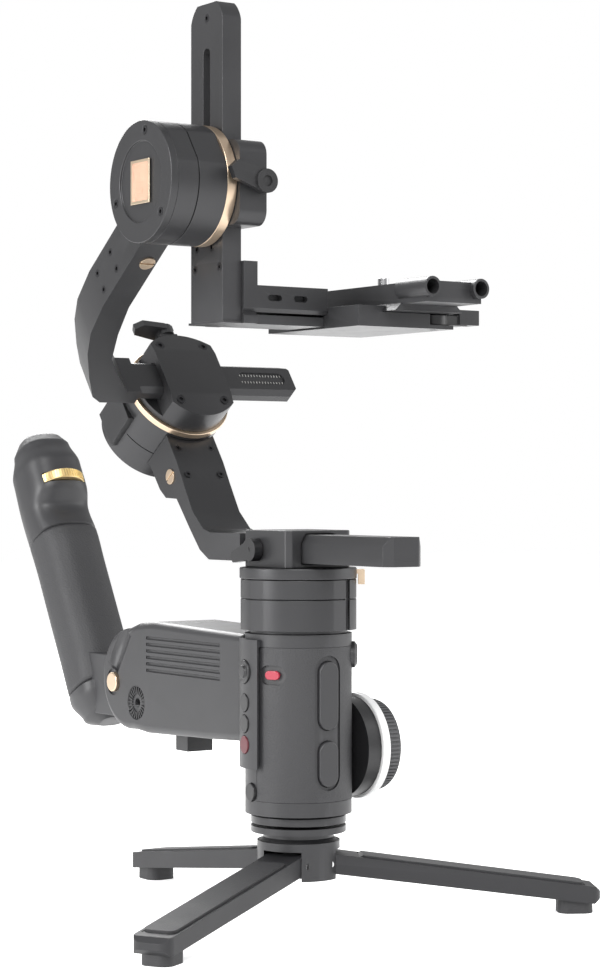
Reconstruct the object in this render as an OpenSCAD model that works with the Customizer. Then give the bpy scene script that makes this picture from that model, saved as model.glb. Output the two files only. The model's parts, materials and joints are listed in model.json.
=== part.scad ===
// Three-axis handheld camera gimbal on a folding tripod, with a rear sling handle.
// Frame: +Z up, the lens looks along -Y, the yaw axis is X = Y = 0, and Z = 0 is the
// mouth of the tripod's underside socket. The feet stand at Z = -stand_h.

/* [Tripod] */
// Height of the socket's mouth above the floor
stand_h = 22; // [20:0.5:26]
// Diameter of the tripod hub
hub_d = 47; // [46:0.5:52]
// Distance from the yaw axis to the tip of a leg
leg_reach = 172; // [140:1:210]
// Width of a leg
leg_w = 23; // [19:0.5:24]
// Radius of the quarter-inch tripod thread
socket_r = 3.175; // [3.175:0.1:4.8]

/* [Grip] */
// Diameter of the grip
grip_d = 60.6; // [56:0.5:68]
// Height of the grip's casing
grip_h = 101.5; // [95:1:125]
// Wall of the grip's casing
grip_wall = 2.2; // [1.8:0.1:3]
// Thickness of the rubber panel
rubber_t = 0.9; // [0.6:0.1:1.2]
// Diameter of the focus wheel's ring
wheel_d = 61; // [50:1:66]

/* [Motors] */
// Diameter of the yaw motor
yaw_motor_d = 67; // [64:0.5:74]
// Height of the yaw motor's fixed part
yaw_motor_h = 28.3; // [24:0.5:34]
// Diameter of the roll and tilt motors
motor_d = 66; // [62:0.5:72]
// Length of the roll and tilt motors' fixed part
motor_len = 41; // [36:0.5:48]
// Diameter of the motor shafts
shaft_d = 12; // [8:0.5:16]
// Width of the champagne trim rings
ring_w = 4; // [3:0.5:6]

/* [Arms] */
// Width of the yaw bar
bar_w = 25; // [20:0.5:27]
// Height of the yaw bar
bar_t = 16; // [12:0.5:17]
// Reach of the yaw bar in front of the yaw axis
bar_front = 103; // [85:1:125]
// Width of the yaw arm
arm_w = 33; // [28:0.5:36]
// Thickness of the roll arm
roll_arm_t = 17; // [14:0.5:19]
// Width of the roll arm
roll_arm_w = 26; // [22:0.5:27]
// Angle of the roll axis above the horizon, in degrees
roll_rise = 36.5; // [30:0.5:40]

/* [Camera mount] */
// Width of the vertical post
post_w = 32.7; // [28:0.5:36]
// Thickness of the vertical post
post_t = 12; // [10:0.5:13]
// Length of the vertical post
post_len = 174; // [160:1:200]
// Width of the post's slot
post_slot = 6.9; // [6:0.1:8]
// Width of the quick-release plate
plate_w = 46; // [38:1:48]
// Length of the quick-release plate
plate_len = 148; // [120:1:170]
// Radius of the camera screw
camera_screw_r = 3.175; // [3.175:0.1:4.8]

/* [Connector and sling handle] */
// Width of the connector
connector_w = 50; // [46:1:54]
// Width of the sling handle
handle_w = 42; // [38:1:46]
// Radius of the connector's rounded end
fold_r = 31; // [29:0.5:31]

/* [Clearances] */
// Gap between neighbouring bodies that turn or slide
body_gap = 0.3; // [0.25:0.05:0.4]
// Radial clearance of a shaft in its bore
shaft_gap = 0.05; // [0.02:0.01:0.08]
// Gap round a button in its opening
button_gap = 0.35; // [0.3:0.05:0.5]

/* [Hidden] */
$fn = 64;

casing = "#3c3b3d";
dark = "#1d1d1f";
rubber = "#2e2e30";
champagne = "#d9c6a4";

// Tripod
leg_angles = [-150, -30, 90];
hub_h = 21;
hub_flange_z = 26;
hub_flange_h = 3.5;
hub_core_r = 9.5;
neck_r = 20;
stem_r = 12;
pivot_r = 17;
pivot_z = 8.5;
pivot_pin_r = 2;
leg_root_r = 6;
leg_drop_top = 0.134;
leg_drop_low = 0.122;
foot_len = 20;
pad_t = 1.8;

// Grip
grip_r = grip_d / 2;
collar_z = 31;
collar_r = grip_r - 3.3;
grip_z = 36.7;
grip_top = grip_z + grip_h;
panel_low = grip_z + 8;
panel_top = grip_top - 7;
panel_from = 185;
panel_sweep = 170;
pod_r = grip_r + 3.3;
pod_at = 171.5;
pod_sweep = 42;
trigger_w = 16;
trigger_low = grip_z + 15;
trigger_top = grip_z + 89.5;
key_w = 12.4;
rocker_low = trigger_low + 33.3;
rocker_top = trigger_top - 2.8;
function_low = trigger_low + 1.6;
function_top = rocker_low - 6.1;
key_front = grip_r + 1;
key_depth = 3.6;
bay_depth = 8;
cell_r = 9.2;
cell_len = 65;
cell_at = 14.6;
floor_t = 3;
shell_inner = grip_r - grip_wall - rubber_t;
button_seat_r = shell_inner + 2.1;
switch_floor_r = shell_inner + 1.1;
switch_at = 206.8;
switch_z = grip_z + 79;
button_d = 10;
stick_z = grip_z + 80.3;
side_button_z = [grip_z + 62.8, grip_z + 51, grip_z + 39.2];
thumb_z = grip_z + 12.7;
thumb_at = 176;
wheel_z = grip_z + 35.1;
wheel_base_x = grip_r - 1.5;
wheel_x = grip_r + 7.7;
wheel_shaft_r = 5;

// Yaw motor
yaw_r = yaw_motor_d / 2;
yaw_z = grip_top + 2.1;
yaw_rotor_z = yaw_z + yaw_motor_h + body_gap;
yaw_rotor_h = 6.3;
shaft_r = shaft_d / 2;
clamp_z = yaw_rotor_z + yaw_rotor_h;
clamp_half = 22;
bar_z = clamp_z + 2.8;
clamp_top = bar_z + bar_t + body_gap + 2;
bar_chamfer = 5.3;
slide_gap = 0.3;

// Gimbal centre: the roll and tilt axes meet here
gimbal_y = -13;
gimbal_z = clamp_z + 209.7;
roll_back = 158.5;
cover_t = 4.5;
cover_w = 43;
cover_r = 31;
rail_t = 11;
rail_w = 23;
flange_t = 3.5;
rail_at = roll_back + cover_t + body_gap;
flange_at = rail_at + rail_t + body_gap;
roll_ring_at = flange_at + flange_t + body_gap;
roll_housing_at = roll_ring_at + ring_w;
roll_end = roll_housing_at + motor_len;
motor_r = motor_d / 2;
stator_r = motor_r - 0.6;
arm_face_at = roll_housing_at + 2.2;
roll_arm_x = -99;
roll_bar_end = 75;

// Tilt motor
tilt_ring_x = -70.5;
tilt_ring_w = 6;
tilt_housing_x = tilt_ring_x - tilt_ring_w;
tilt_cap_x = -107;
tilt_cap_t = 4.5;
post_x = -69.4;
clamp_x = -53;
clamp_y_half = 35;
clamp_z_half = 23;
post_top = gimbal_z + 100.3;
slot_top = post_top - 24.5;
lever_y = 7;

// Camera arm
rail_z = gimbal_z - 75;
camera_arm_z = gimbal_z - 68.6;
camera_arm_h = 14.6;
camera_front = gimbal_y - 19;
camera_back = gimbal_y + 22;
camera_arm_end = -1.8;
base_x = -2;
base_len = 65;
base_z = gimbal_z - 76;
base_h = 11.5;
base_front = gimbal_y - 49;
base_back = gimbal_y + 41;
plate_x = 14;
plate_z = base_z + base_h - 3;
plate_front = gimbal_y - 87;
plate_h = 15;
dovetail = 4;
screw_collar_r = camera_screw_r + 1;
camera_screw_len = 6;
rod_d = 11;
rod_x = [plate_x + 6, plate_x + plate_w - 7];
rod_z = gimbal_z - 56;
screw_y = gimbal_y - 18;
lever_x = base_x + base_len - 8;
lever_front = base_front + 8;
lever_low = base_z + 2.5;
lever_h = 5.5;
lever_hub_r = 7.5;
lever_pin_r = 2.5;

// Connector and sling handle
connector_low = grip_z + 34;
fold_y = 152;
fold_z = grip_z + 66.3;
fold_pin_r = 4;
tongue_w = 14;
latch_w = 18;
latch_y = 106;
latch_len = 14;
knuckle_r = 9;
handle_lean = 29;

// ---------------------------------------------------------------- helpers
module slot_2d(length, width) {
    half = max(length - width, 0) / 2;
    translate([-half, 0]) circle(d = width);
    translate([half, 0]) circle(d = width);
    square([2 * half, width], center = true);
}

module round_rect(size, r) {
    square([size[0] - 2 * r, size[1]], center = true);
    square([size[0], size[1] - 2 * r], center = true);
    for (x = [-1, 1], y = [-1, 1])
        translate([x * (size[0] / 2 - r), y * (size[1] / 2 - r)]) circle(r);
}

// A ring segment about the yaw axis
module sector(r_in, r_out, low, high, from, sweep) {
    rotate([0, 0, from]) rotate_extrude(angle = sweep, $fn = 96)
        translate([r_in, low]) square([r_out - r_in, high - low]);
}

// Puts a shape drawn about +Z on the grip, facing outwards at an angle and a height
module on_grip(angle, z) {
    translate([0, 0, z]) rotate([0, 0, angle]) rotate([0, 90, 0]) children();
}

// Extrudes a (y, z) outline along X
module along_x(x_from, x_to) {
    translate([x_from, 0, 0]) rotate([90, 0, 90]) linear_extrude(x_to - x_from) children();
}

// Roll frame: centre of the gimbal, local +Z forwards along the roll axis
module roll_frame() {
    translate([0, gimbal_y, gimbal_z]) rotate([90 - roll_rise, 0, 0]) children();
}

// A disc about the roll axis, from one distance behind the gimbal centre to another
module roll_disc(r, from, to) {
    roll_frame() translate([0, 0, -to]) cylinder(r = r, h = to - from);
}

// A disc about the tilt axis
module tilt_disc(r, from, to) {
    translate([from, gimbal_y, gimbal_z]) rotate([0, 90, 0]) cylinder(r = r, h = to - from);
}

// A socket-head screw standing along +Z, its head's top at Z = 0
module cap_screw(head_r, length) {
    difference() {
        union() {
            translate([0, 0, -1.6]) cylinder(r = head_r, h = 1.6, $fn = 32);
            translate([0, 0, -length]) cylinder(r = head_r * 0.5, h = length - 1, $fn = 32);
        }
        translate([0, 0, -1]) cylinder(r = head_r * 0.45, h = 2, $fn = 6);
    }
}

// The pocket that a cap screw sits in
module screw_pocket(head_r, length) {
    translate([0, 0, -1.6]) cylinder(r = head_r, h = 4, $fn = 32);
    translate([0, 0, -length]) cylinder(r = head_r * 0.5, h = length, $fn = 32);
}

// A coin-slotted lock knob, its face at Z = 0
module lock_knob_shape(r, length) {
    difference() {
        translate([0, 0, -length]) cylinder(r = r, h = length);
        translate([-r, -0.5, -1]) cube([2 * r, 1, 2]);
    }
}

// ---------------------------------------------------------------- tripod
module leg_frame(angle) {
    rotate([0, 0, angle]) children();
}

module tripod_hub() {
    color(casing) difference() {
        union() {
            cylinder(d = hub_d, h = hub_h);
            translate([0, 0, hub_h - 1]) cylinder(r1 = hub_d / 2 - 1, r2 = neck_r, h = 3);
            translate([0, 0, hub_h]) cylinder(r = neck_r, h = hub_flange_z - hub_h + 0.5);
            translate([0, 0, hub_flange_z]) cylinder(r = collar_r, h = hub_flange_h);
            translate([0, 0, hub_flange_z]) cylinder(r = stem_r, h = collar_z + 3 - hub_flange_z);
        }
        translate([0, 0, -1]) cylinder(r = socket_r, h = 11);
        for (a = leg_angles) leg_frame(a) {
            translate([hub_core_r, -leg_w / 2 - body_gap, -1])
                cube([hub_d, leg_w + 2 * body_gap, pivot_z + leg_root_r + 3]);
            translate([pivot_r, 0, pivot_z]) rotate([90, 0, 0])
                cylinder(r = pivot_pin_r, h = leg_w + 7, center = true);
        }
    }
}

module leg_pins() {
    color("silver") for (a = leg_angles) leg_frame(a)
        translate([pivot_r, 0, pivot_z]) rotate([90, 0, 0])
            cylinder(r = pivot_pin_r, h = leg_w + 6, center = true);
}

function leg_top(r) = pivot_z + 4.5 - leg_drop_top * (r - 26);
function leg_low(r) = pivot_z - 6.8 - leg_drop_low * (r - 26);

module leg_beam(angle) {
    tip = leg_reach;
    color(casing) leg_frame(angle) difference() {
        union() {
            intersection() {
                rotate([90, 0, 0]) linear_extrude(leg_w, center = true)
                    polygon([[pivot_r, pivot_z - leg_root_r + 0.4], [tip - 4, leg_low(tip)],
                        [tip, leg_low(tip) + 3], [tip, leg_top(tip) - 3],
                        [tip - 3, leg_top(tip)], [pivot_r, pivot_z + leg_root_r - 0.4]]);
                translate([tip / 2, 0, -20]) linear_extrude(60) round_rect([tip, leg_w], 6);
            }
            translate([pivot_r, 0, pivot_z]) rotate([90, 0, 0])
                cylinder(r = leg_root_r, h = leg_w, center = true);
        }
        translate([pivot_r, 0, pivot_z]) rotate([90, 0, 0])
            cylinder(r = pivot_pin_r + shaft_gap, h = leg_w + 2, center = true);
        // shallow tray for the top pad
        rotate([90, 0, 0]) linear_extrude(leg_w - 4, center = true)
            polygon([[34, leg_top(34) - 0.8], [tip - 9, leg_top(tip - 9) - 0.8],
                [tip - 9, leg_top(34) + 9], [34, leg_top(34) + 9]]);
    }
}

module leg_rubber(angle) {
    tip = leg_reach;
    color(rubber) leg_frame(angle) {
        intersection() {
            rotate([90, 0, 0]) linear_extrude(leg_w - 4.2, center = true)
                polygon([[34.2, leg_top(34.2) - 0.8], [tip - 9.2, leg_top(tip - 9.2) - 0.8],
                    [tip - 9.2, leg_top(tip - 9.2) + pad_t - 0.8],
                    [36, leg_top(36) + pad_t - 0.8]]);
            translate([tip / 2 + 12.5, 0, -40]) linear_extrude(80)
                round_rect([tip - 43.4, leg_w - 4.2], 4);
        }
        difference() {
            translate([tip - 4 - foot_len, 0, -stand_h]) linear_extrude(stand_h)
                translate([foot_len / 2, 0]) round_rect([foot_len, leg_w - 5], 6);
            rotate([90, 0, 0]) linear_extrude(leg_w + 2, center = true)
                polygon([[pivot_r, pivot_z - leg_root_r + 0.4], [tip - 4, leg_low(tip)],
                    [tip, leg_low(tip)], [tip, pivot_z + 20], [pivot_r, pivot_z + 20]]);
        }
    }
}

// ---------------------------------------------------------------- grip
module base_collar() {
    color(casing) difference() {
        union() {
            translate([0, 0, collar_z]) cylinder(r = collar_r, h = 4.6);
            translate([0, 0, collar_z]) cylinder(r = collar_r - 1.6, h = grip_z - collar_z);
        }
        translate([0, 0, collar_z - 1]) cylinder(r = stem_r + shaft_gap, h = 4.2);
    }
}

// Outlines of the controls, each cut with its own clearance
module trigger_outline(grow) {
    rotate([90, 0, 0]) linear_extrude(grip_d) translate([0, (trigger_low + trigger_top) / 2])
        rotate(90) slot_2d(trigger_top - trigger_low + 2 * grow, trigger_w + 2 * grow);
}

module key_shape(low, top, gap, depth) {
    translate([0, -key_front + depth, 0]) rotate([90, 0, 0]) linear_extrude(depth)
        translate([0, (low + top) / 2])
            rotate(90) slot_2d(top - low + 2 * gap, key_w + 2 * gap);
}

module switch_recess(grow, r_floor) {
    on_grip(switch_at, switch_z) translate([0, 0, r_floor])
        linear_extrude(6) rotate(90) slot_2d(13 + 2 * grow, 7.4 + 2 * grow);
}

module side_holes(gap) {
    on_grip(pod_at, stick_z) cylinder(d = 13 + 2 * gap, h = 60);
    for (z = side_button_z) on_grip(pod_at, z) cylinder(d = button_d + 2 * gap, h = 60);
    on_grip(thumb_at, thumb_z) cylinder(d = button_d + 2 * gap, h = 60);
}

module grip_half(side) {
    inner = shell_inner;
    color(casing) difference() {
        union() {
            difference() {
                translate([0, 0, grip_z]) cylinder(r = grip_r, h = grip_h, $fn = 96);
                translate([0, 0, grip_z + floor_t])
                    cylinder(r = inner, h = grip_h - 2 * floor_t, $fn = 96);
            }
            intersection() {
                translate([0, 0, grip_z]) cylinder(r = grip_r, h = grip_h, $fn = 96);
                translate([-10, -grip_r, trigger_low - 3])
                    cube([20, bay_depth, trigger_top - trigger_low + 6]);
            }
            sector(inner + 1, pod_r, grip_z + 26, grip_top - 3, pod_at - pod_sweep / 2, pod_sweep);
        }
        // tray for the rubber panel
        sector(grip_r - rubber_t, grip_r + 2, panel_low, panel_top, panel_from, panel_sweep);
        // trigger recess and the two key pockets
        intersection() {
            trigger_outline(0);
            translate([-grip_r, -grip_r - 1, 0]) cube([grip_d, 2.4, grip_top]);
        }
        key_shape(rocker_low, rocker_top, button_gap, key_depth + 1.8);
        key_shape(function_low, function_top, button_gap, key_depth + 1.8);
        switch_recess(1.6, switch_floor_r);
        intersection() {
            side_holes(button_gap);
            difference() {
                cylinder(r = grip_r + 9, h = grip_top);
                translate([0, 0, -1]) cylinder(r = inner + 0.9, h = grip_top + 2);
            }
        }
        // mouth for the focus wheel's shaft bush
        translate([0, 0, wheel_z]) rotate([0, 90, 0]) cylinder(r = 9, h = grip_d);
        // seat for the yaw motor's wire tube
        translate([0, 0, grip_top - 4]) cylinder(r = 8, h = 6);
        translate([side > 0 ? -2 * grip_d : 0, -grip_d, 0]) cube([2 * grip_d, 2 * grip_d, 400]);
    }
}

module grip_shell_left() {
    grip_half(-1);
}

module grip_shell_right() {
    grip_half(1);
    // round side cap over the wheel's cable port
    color(casing) on_grip(-34, grip_z + 89) {
        translate([0, 0, grip_r - 1.5]) cylinder(d = 15, h = 3);
        translate([0, 0, grip_r + 1.5]) cylinder(r1 = 7.5, r2 = 5.5, h = 1.5);
    }
}

module grip_rubber() {
    color(rubber) difference() {
        sector(grip_r - rubber_t, grip_r, panel_low + 0.2, panel_top - 0.2,
            panel_from + 0.4, panel_sweep - 0.8);
        trigger_outline(0.4);
        switch_recess(1.8, grip_r - 4);
        translate([0, 0, wheel_z]) rotate([0, 90, 0]) cylinder(r = 9.3, h = grip_d);
        on_grip(-34, grip_z + 89) cylinder(d = 15.4, h = grip_d);
        side_holes(button_gap);
    }
}

module battery_cells() {
    color("steelblue") for (a = [90, 210, 330]) rotate([0, 0, a])
        translate([cell_at, 0, grip_z + floor_t]) cylinder(r = cell_r, h = cell_len);
}

module control_board() {
    board_z = grip_z + 74;
    color("darkgreen") intersection() {
        translate([0, 0, board_z]) cylinder(r = shell_inner - body_gap, h = 1.6, $fn = 96);
        translate([-grip_r, -grip_r + bay_depth + body_gap, board_z - 1])
            cube([grip_d, grip_d, 4]);
    }
    color("dimgray") translate([-9, -3, board_z + 1.6]) cube([14, 12, 2]);
    color("dimgray") translate([-14, -7, board_z - 2.9]) cube([28, 3, 2.9]);
}

module zoom_rocker() {
    color(casing) key_shape(rocker_low, rocker_top, 0, key_depth);
}

module function_button() {
    color(casing) key_shape(function_low, function_top, 0, key_depth);
}

module mode_switch() {
    color("crimson") on_grip(switch_at, switch_z) translate([0, 0, switch_floor_r + 0.05])
        linear_extrude(2.2) rotate(90) slot_2d(9, 5);
}

module side_button(z, d, out, angle) {
    r = angle == thumb_at ? grip_r : pod_r;
    color(dark) on_grip(angle, z) translate([0, 0, button_seat_r])
        cylinder(d = d, h = r + out - button_seat_r);
}

module joystick() {
    side_button(stick_z, 13, 0.8, pod_at);
    color(casing) on_grip(pod_at, stick_z) translate([0, 0, pod_r]) cylinder(d = 7, h = 2);
}

module wheel_base() {
    color(dark) translate([wheel_base_x, 0, wheel_z]) rotate([0, 90, 0]) difference() {
        union() {
            cylinder(r = wheel_d / 2 - 2, h = wheel_x - body_gap - wheel_base_x);
            translate([0, 0, -3]) cylinder(r = 8.9, h = 4);
        }
        translate([0, 0, -4]) cylinder(r = wheel_shaft_r + shaft_gap, h = 40);
        // clears the round casing
        rotate([0, -90, 0]) translate([-wheel_base_x, 0, -wheel_z])
            difference() {
                translate([0, 0, grip_z - 10]) cylinder(r = grip_r + 0.1, h = grip_h + 20, $fn = 96);
                translate([0, 0, wheel_z]) rotate([0, 90, 0]) cylinder(r = 8.95, h = grip_d);
            }
    }
}

module focus_wheel() {
    knob_r = wheel_d / 2 - 4.6;
    color("whitesmoke") translate([wheel_x, 0, wheel_z]) rotate([0, 90, 0])
        cylinder(d = wheel_d, h = 5);
    color("dimgray") translate([wheel_x + 5, 0, wheel_z]) rotate([0, 90, 0]) {
        cylinder(r = knob_r, h = 10.5);
        for (a = [0 : 15 : 345]) rotate([0, 0, a]) translate([knob_r, 0, 1])
            cylinder(r = 0.9, h = 8.5, $fn = 16);
        translate([0, 0, -5 - (wheel_x - wheel_base_x) - 2]) cylinder(r = wheel_shaft_r, h = 12);
    }
}

// ---------------------------------------------------------------- yaw axis
module yaw_motor_housing() {
    color(casing) difference() {
        union() {
            intersection() {
                translate([0, 0, yaw_z]) cylinder(r = yaw_r, h = yaw_motor_h, $fn = 96);
                // facets round the casing
                translate([0, 0, yaw_z]) rotate([0, 0, -34]) linear_extrude(yaw_motor_h)
                    intersection() {
                        square([2 * yaw_r - 1.6, 3 * yaw_r], center = true);
                        rotate(45) square([2 * yaw_r - 0.6, 3 * yaw_r], center = true);
                        rotate(-45) square([2 * yaw_r - 0.6, 3 * yaw_r], center = true);
                    }
            }
            translate([0, 0, grip_top - 4]) cylinder(r = 7.9, h = yaw_z - grip_top + 5);
            translate([0, 0, grip_top]) cylinder(r = grip_r - 2.5, h = yaw_z - grip_top + 0.2);
        }
        translate([0, 0, yaw_z + 4]) cylinder(r = shaft_r + shaft_gap, h = yaw_motor_h);
        // seam groove and the vertical notch
        translate([0, 0, yaw_z + 17.2]) difference() {
            cylinder(r = yaw_r + 1, h = 0.6);
            translate([0, 0, -1]) cylinder(r = yaw_r - 1.2, h = 3);
        }
        rotate([0, 0, -68]) translate([yaw_r - 1.6, -2, yaw_z - 1]) cube([4, 4, yaw_motor_h + 2]);
    }
}

module yaw_rotor() {
    color(casing) difference() {
        union() {
            translate([0, 0, yaw_rotor_z]) cylinder(r = yaw_r, h = yaw_rotor_h, $fn = 96);
            translate([0, 0, yaw_z + 5]) cylinder(r = shaft_r, h = yaw_motor_h);
        }
        rotate([0, 0, -34]) translate([yaw_r - 4 - body_gap, -5 - body_gap, yaw_rotor_z - 1])
            cube([6, 10 + 2 * body_gap, yaw_rotor_h + 2]);
    }
}

module yaw_bar_2d(grow) {
    w = bar_w / 2 + grow;
    t = bar_t + grow;
    polygon([[-w, -grow], [w, -grow], [w, t - bar_chamfer], [w - 3, t], [-w + 3, t],
        [-w, t - bar_chamfer]]);
}

module yaw_clamp() {
    color(casing) difference() {
        union() {
            translate([-clamp_half, -clamp_half, clamp_z])
                cube([2 * clamp_half, 2 * clamp_half, bar_z + 9 - clamp_z]);
            translate([-clamp_half, -clamp_half, bar_z + 8])
                cube([2 * clamp_half, 2 * clamp_half, clamp_top - bar_z - 8]);
        }
        translate([0, clamp_half + 1, bar_z]) rotate([90, 0, 0])
            linear_extrude(2 * clamp_half + 2) yaw_bar_2d(slide_gap);
        // bevelled front corners
        for (s = [-1, 1]) translate([s * clamp_half, -clamp_half, clamp_z - 1])
            rotate([0, 0, 45]) cube([4, 4, 80], center = true);
        translate([-clamp_half - 1, 9, clamp_z + 10]) rotate([0, 90, 0])
            cylinder(r = 3 + shaft_gap, h = 7);
    }
}

module yaw_clamp_lever() {
    color(dark) {
        translate([-clamp_half - 5.4, 9, clamp_z + 10]) rotate([0, 90, 0]) cylinder(r = 3, h = 10);
        translate([-clamp_half - 6, 9, clamp_z + 10]) rotate([0, 90, 0]) difference() {
            cylinder(r = 6.5, h = 5.6);
            translate([0, 0, -1]) cylinder(r = 1.6, h = 2.6, $fn = 6);
        }
        translate([-clamp_half - 6, 9, clamp_z + 10]) rotate([0, 90, 0]) rotate([0, 0, 76])
            linear_extrude(5) polygon([[0, -5.5], [18, -3.4], [20, 0], [18, 3], [0, 5.5]]);
    }
}

module yaw_lock_latch() {
    color(champagne) rotate([0, 0, -34]) {
        translate([yaw_r - 4, -5, yaw_rotor_z + 2.7]) cube([8, 10, 2.4]);
        translate([yaw_r + body_gap, -5, yaw_rotor_z - 3.3]) cube([4 - body_gap, 10, 8.5]);
    }
}

module yaw_arm() {
    top = bar_z + bar_t;
    color(casing) difference() {
        union() {
            // straight bar through the clamp
            translate([0, 42, bar_z]) rotate([90, 0, 0]) linear_extrude(bar_front + 42) yaw_bar_2d(0);
            // bend that rises to the roll motor
            along_x(-arm_w / 2, arm_w / 2) polygon([[36, bar_z], [70, bar_z],
                [80, bar_z + 5.5], [91, bar_z + 17.5], [106.5, bar_z + 35.5],
                [119, bar_z + 36], [126, bar_z + 41], [138, bar_z + 56],
                [150, bar_z + 60], [150, bar_z + 90], [116.5, bar_z + 75],
                [99, bar_z + 45.5], [88, bar_z + 28], [76, bar_z + 18], [68, bar_z + 16],
                [36, bar_z + 16]]);
        }
        // front corners of the bar
        for (s = [-1, 1]) translate([s * bar_w / 2, -bar_front, bar_z - 1])
            rotate([0, 0, 45]) cube([6, 6, 60], center = true);
        // room for the roll motor and its front
        roll_disc(motor_r + 0.1, 0, roll_end + 60);
        roll_frame() translate([-arm_w, -78, -arm_face_at]) cube([2 * arm_w, 198, 200]);
        // seats of the four cover screws and the lock knob
        roll_frame() for (x = [-1, 1], y = [0, 1])
            translate([x * 11.5, -38.5 - 19.5 * y, -arm_face_at]) screw_pocket(2.1, 8);
        roll_frame() translate([-arm_w / 2, -52, -arm_face_at - 11]) rotate([0, -90, 0])
            translate([0, 0, -4.2]) cylinder(r = 4.6 + shaft_gap, h = 6);
    }
}

module yaw_arm_screws() {
    color("dimgray") roll_frame() for (x = [-1, 1], y = [0, 1])
        translate([x * 11.5, -38.5 - 19.5 * y, -arm_face_at]) cap_screw(2.1, 8);
}

// ---------------------------------------------------------------- roll axis
module roll_motor_housing() {
    color(casing) {
        difference() {
            union() {
                roll_disc(stator_r, roll_housing_at, roll_end);
                roll_frame() translate([-motor_r - 1.5, -12, -roll_end + 6])
                    cube([14, 24, motor_len - 14]);
            }
            roll_disc(shaft_r + shaft_gap, roll_housing_at - 1, roll_end - 6);
            roll_frame() translate([0, 0, -roll_housing_at - 22]) difference() {
                cylinder(r = motor_r + 5, h = 0.6);
                translate([0, 0, -1]) cylinder(r = stator_r - 1, h = 3);
                translate([-motor_r - 10, -13, -1]) cube([24, 26, 3]);
            }
        }
    }
}

module roll_ring() {
    color(champagne) difference() {
        roll_disc(motor_r, roll_ring_at, roll_ring_at + ring_w);
        roll_disc(motor_r - 6, roll_ring_at - 1, roll_ring_at + ring_w + 1);
    }
}

module roll_lock_knob() {
    color(champagne) roll_frame() translate([-arm_w / 2, -52, -arm_face_at - 11])
        rotate([0, -90, 0]) translate([0, 0, 0.8]) lock_knob_shape(4.6, 4.6);
}

// Outline of the clamp, a disc with two flat sides
module clamp_2d(w) {
    intersection() {
        circle(cover_r, $fn = 96);
        square([w, 3 * cover_r], center = true);
    }
}

module rail_2d(grow) {
    w = rail_w / 2 + grow;
    t = rail_t + 2 * grow;
    c = 3;
    translate([0, -rail_at + grow])
        polygon([[-w + c, 0], [w - c, 0], [w, -c], [w, -t + c], [w - c, -t], [-w + c, -t],
            [-w, -t + c], [-w, -c]]);
}

module roll_clamp() {
    color(casing) difference() {
        union() {
            roll_frame() translate([0, 0, -flange_at - flange_t]) linear_extrude(flange_t)
                circle(cover_r, $fn = 96);
            roll_frame() translate([0, 0, -flange_at - 1])
                linear_extrude(rail_t + 2 * body_gap + 1) clamp_2d(cover_w);
            roll_disc(shaft_r, flange_at + 1, roll_end - 8);
            // lug that carries the lever's pivot
            roll_frame() translate([-9, cover_r - 6, -rail_at - 9]) cube([12, 8.5, 9]);
        }
        roll_frame() along_x(-60, 60) rail_2d(slide_gap);
        roll_frame() translate([-3, 20, -rail_at - 4.5]) rotate([-90, 0, 0])
            cylinder(r = 2.5 + shaft_gap, h = 20);
        roll_frame() for (x = [-1, 1], y = [-1, 1])
            translate([x * 15.3, y * 20.7, -rail_at - 5]) cylinder(r = 1.45, h = 8, $fn = 32);
    }
}

module roll_clamp_cover() {
    color(casing) difference() {
        roll_frame() intersection() {
            translate([0, 0, -roll_back - cover_t]) linear_extrude(cover_t) clamp_2d(cover_w);
            along_x(-40, 40) polygon([[-40, -roll_back - cover_t - 1],
                [40, -roll_back - cover_t - 1], [40, -roll_back - 5], [15, -roll_back],
                [-15, -roll_back], [-40, -roll_back - 5]]);
        }
        roll_frame() for (x = [-1, 1], y = [-1, 1])
            translate([x * 15.3, y * 20.7, -roll_back - 0.9]) screw_pocket(2.9, 12);
    }
}

module roll_clamp_screws() {
    color("dimgray") roll_frame() for (x = [-1, 1], y = [-1, 1])
        translate([x * 15.3, y * 20.7, -roll_back - 0.9]) cap_screw(2.9, cover_t - 1);
}

module lever_wing(length) {
    linear_extrude(4) polygon([[-3, -6], [4, -6.5], [length - 3, -5], [length, 0],
        [length - 4, 5], [3, 6], [-4, 5]]);
}

module roll_lever() {
    color(dark) roll_frame() translate([-3, cover_r + 2.5 + body_gap, -rail_at - 4.5])
        rotate([-90, 0, 0]) {
            translate([0, 0, -12]) cylinder(r = 2.5, h = 13);
            cylinder(r = 6, h = 6.5);
            translate([0, 0, 2.5]) rotate([0, 0, 190]) lever_wing(23);
        }
}

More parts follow.
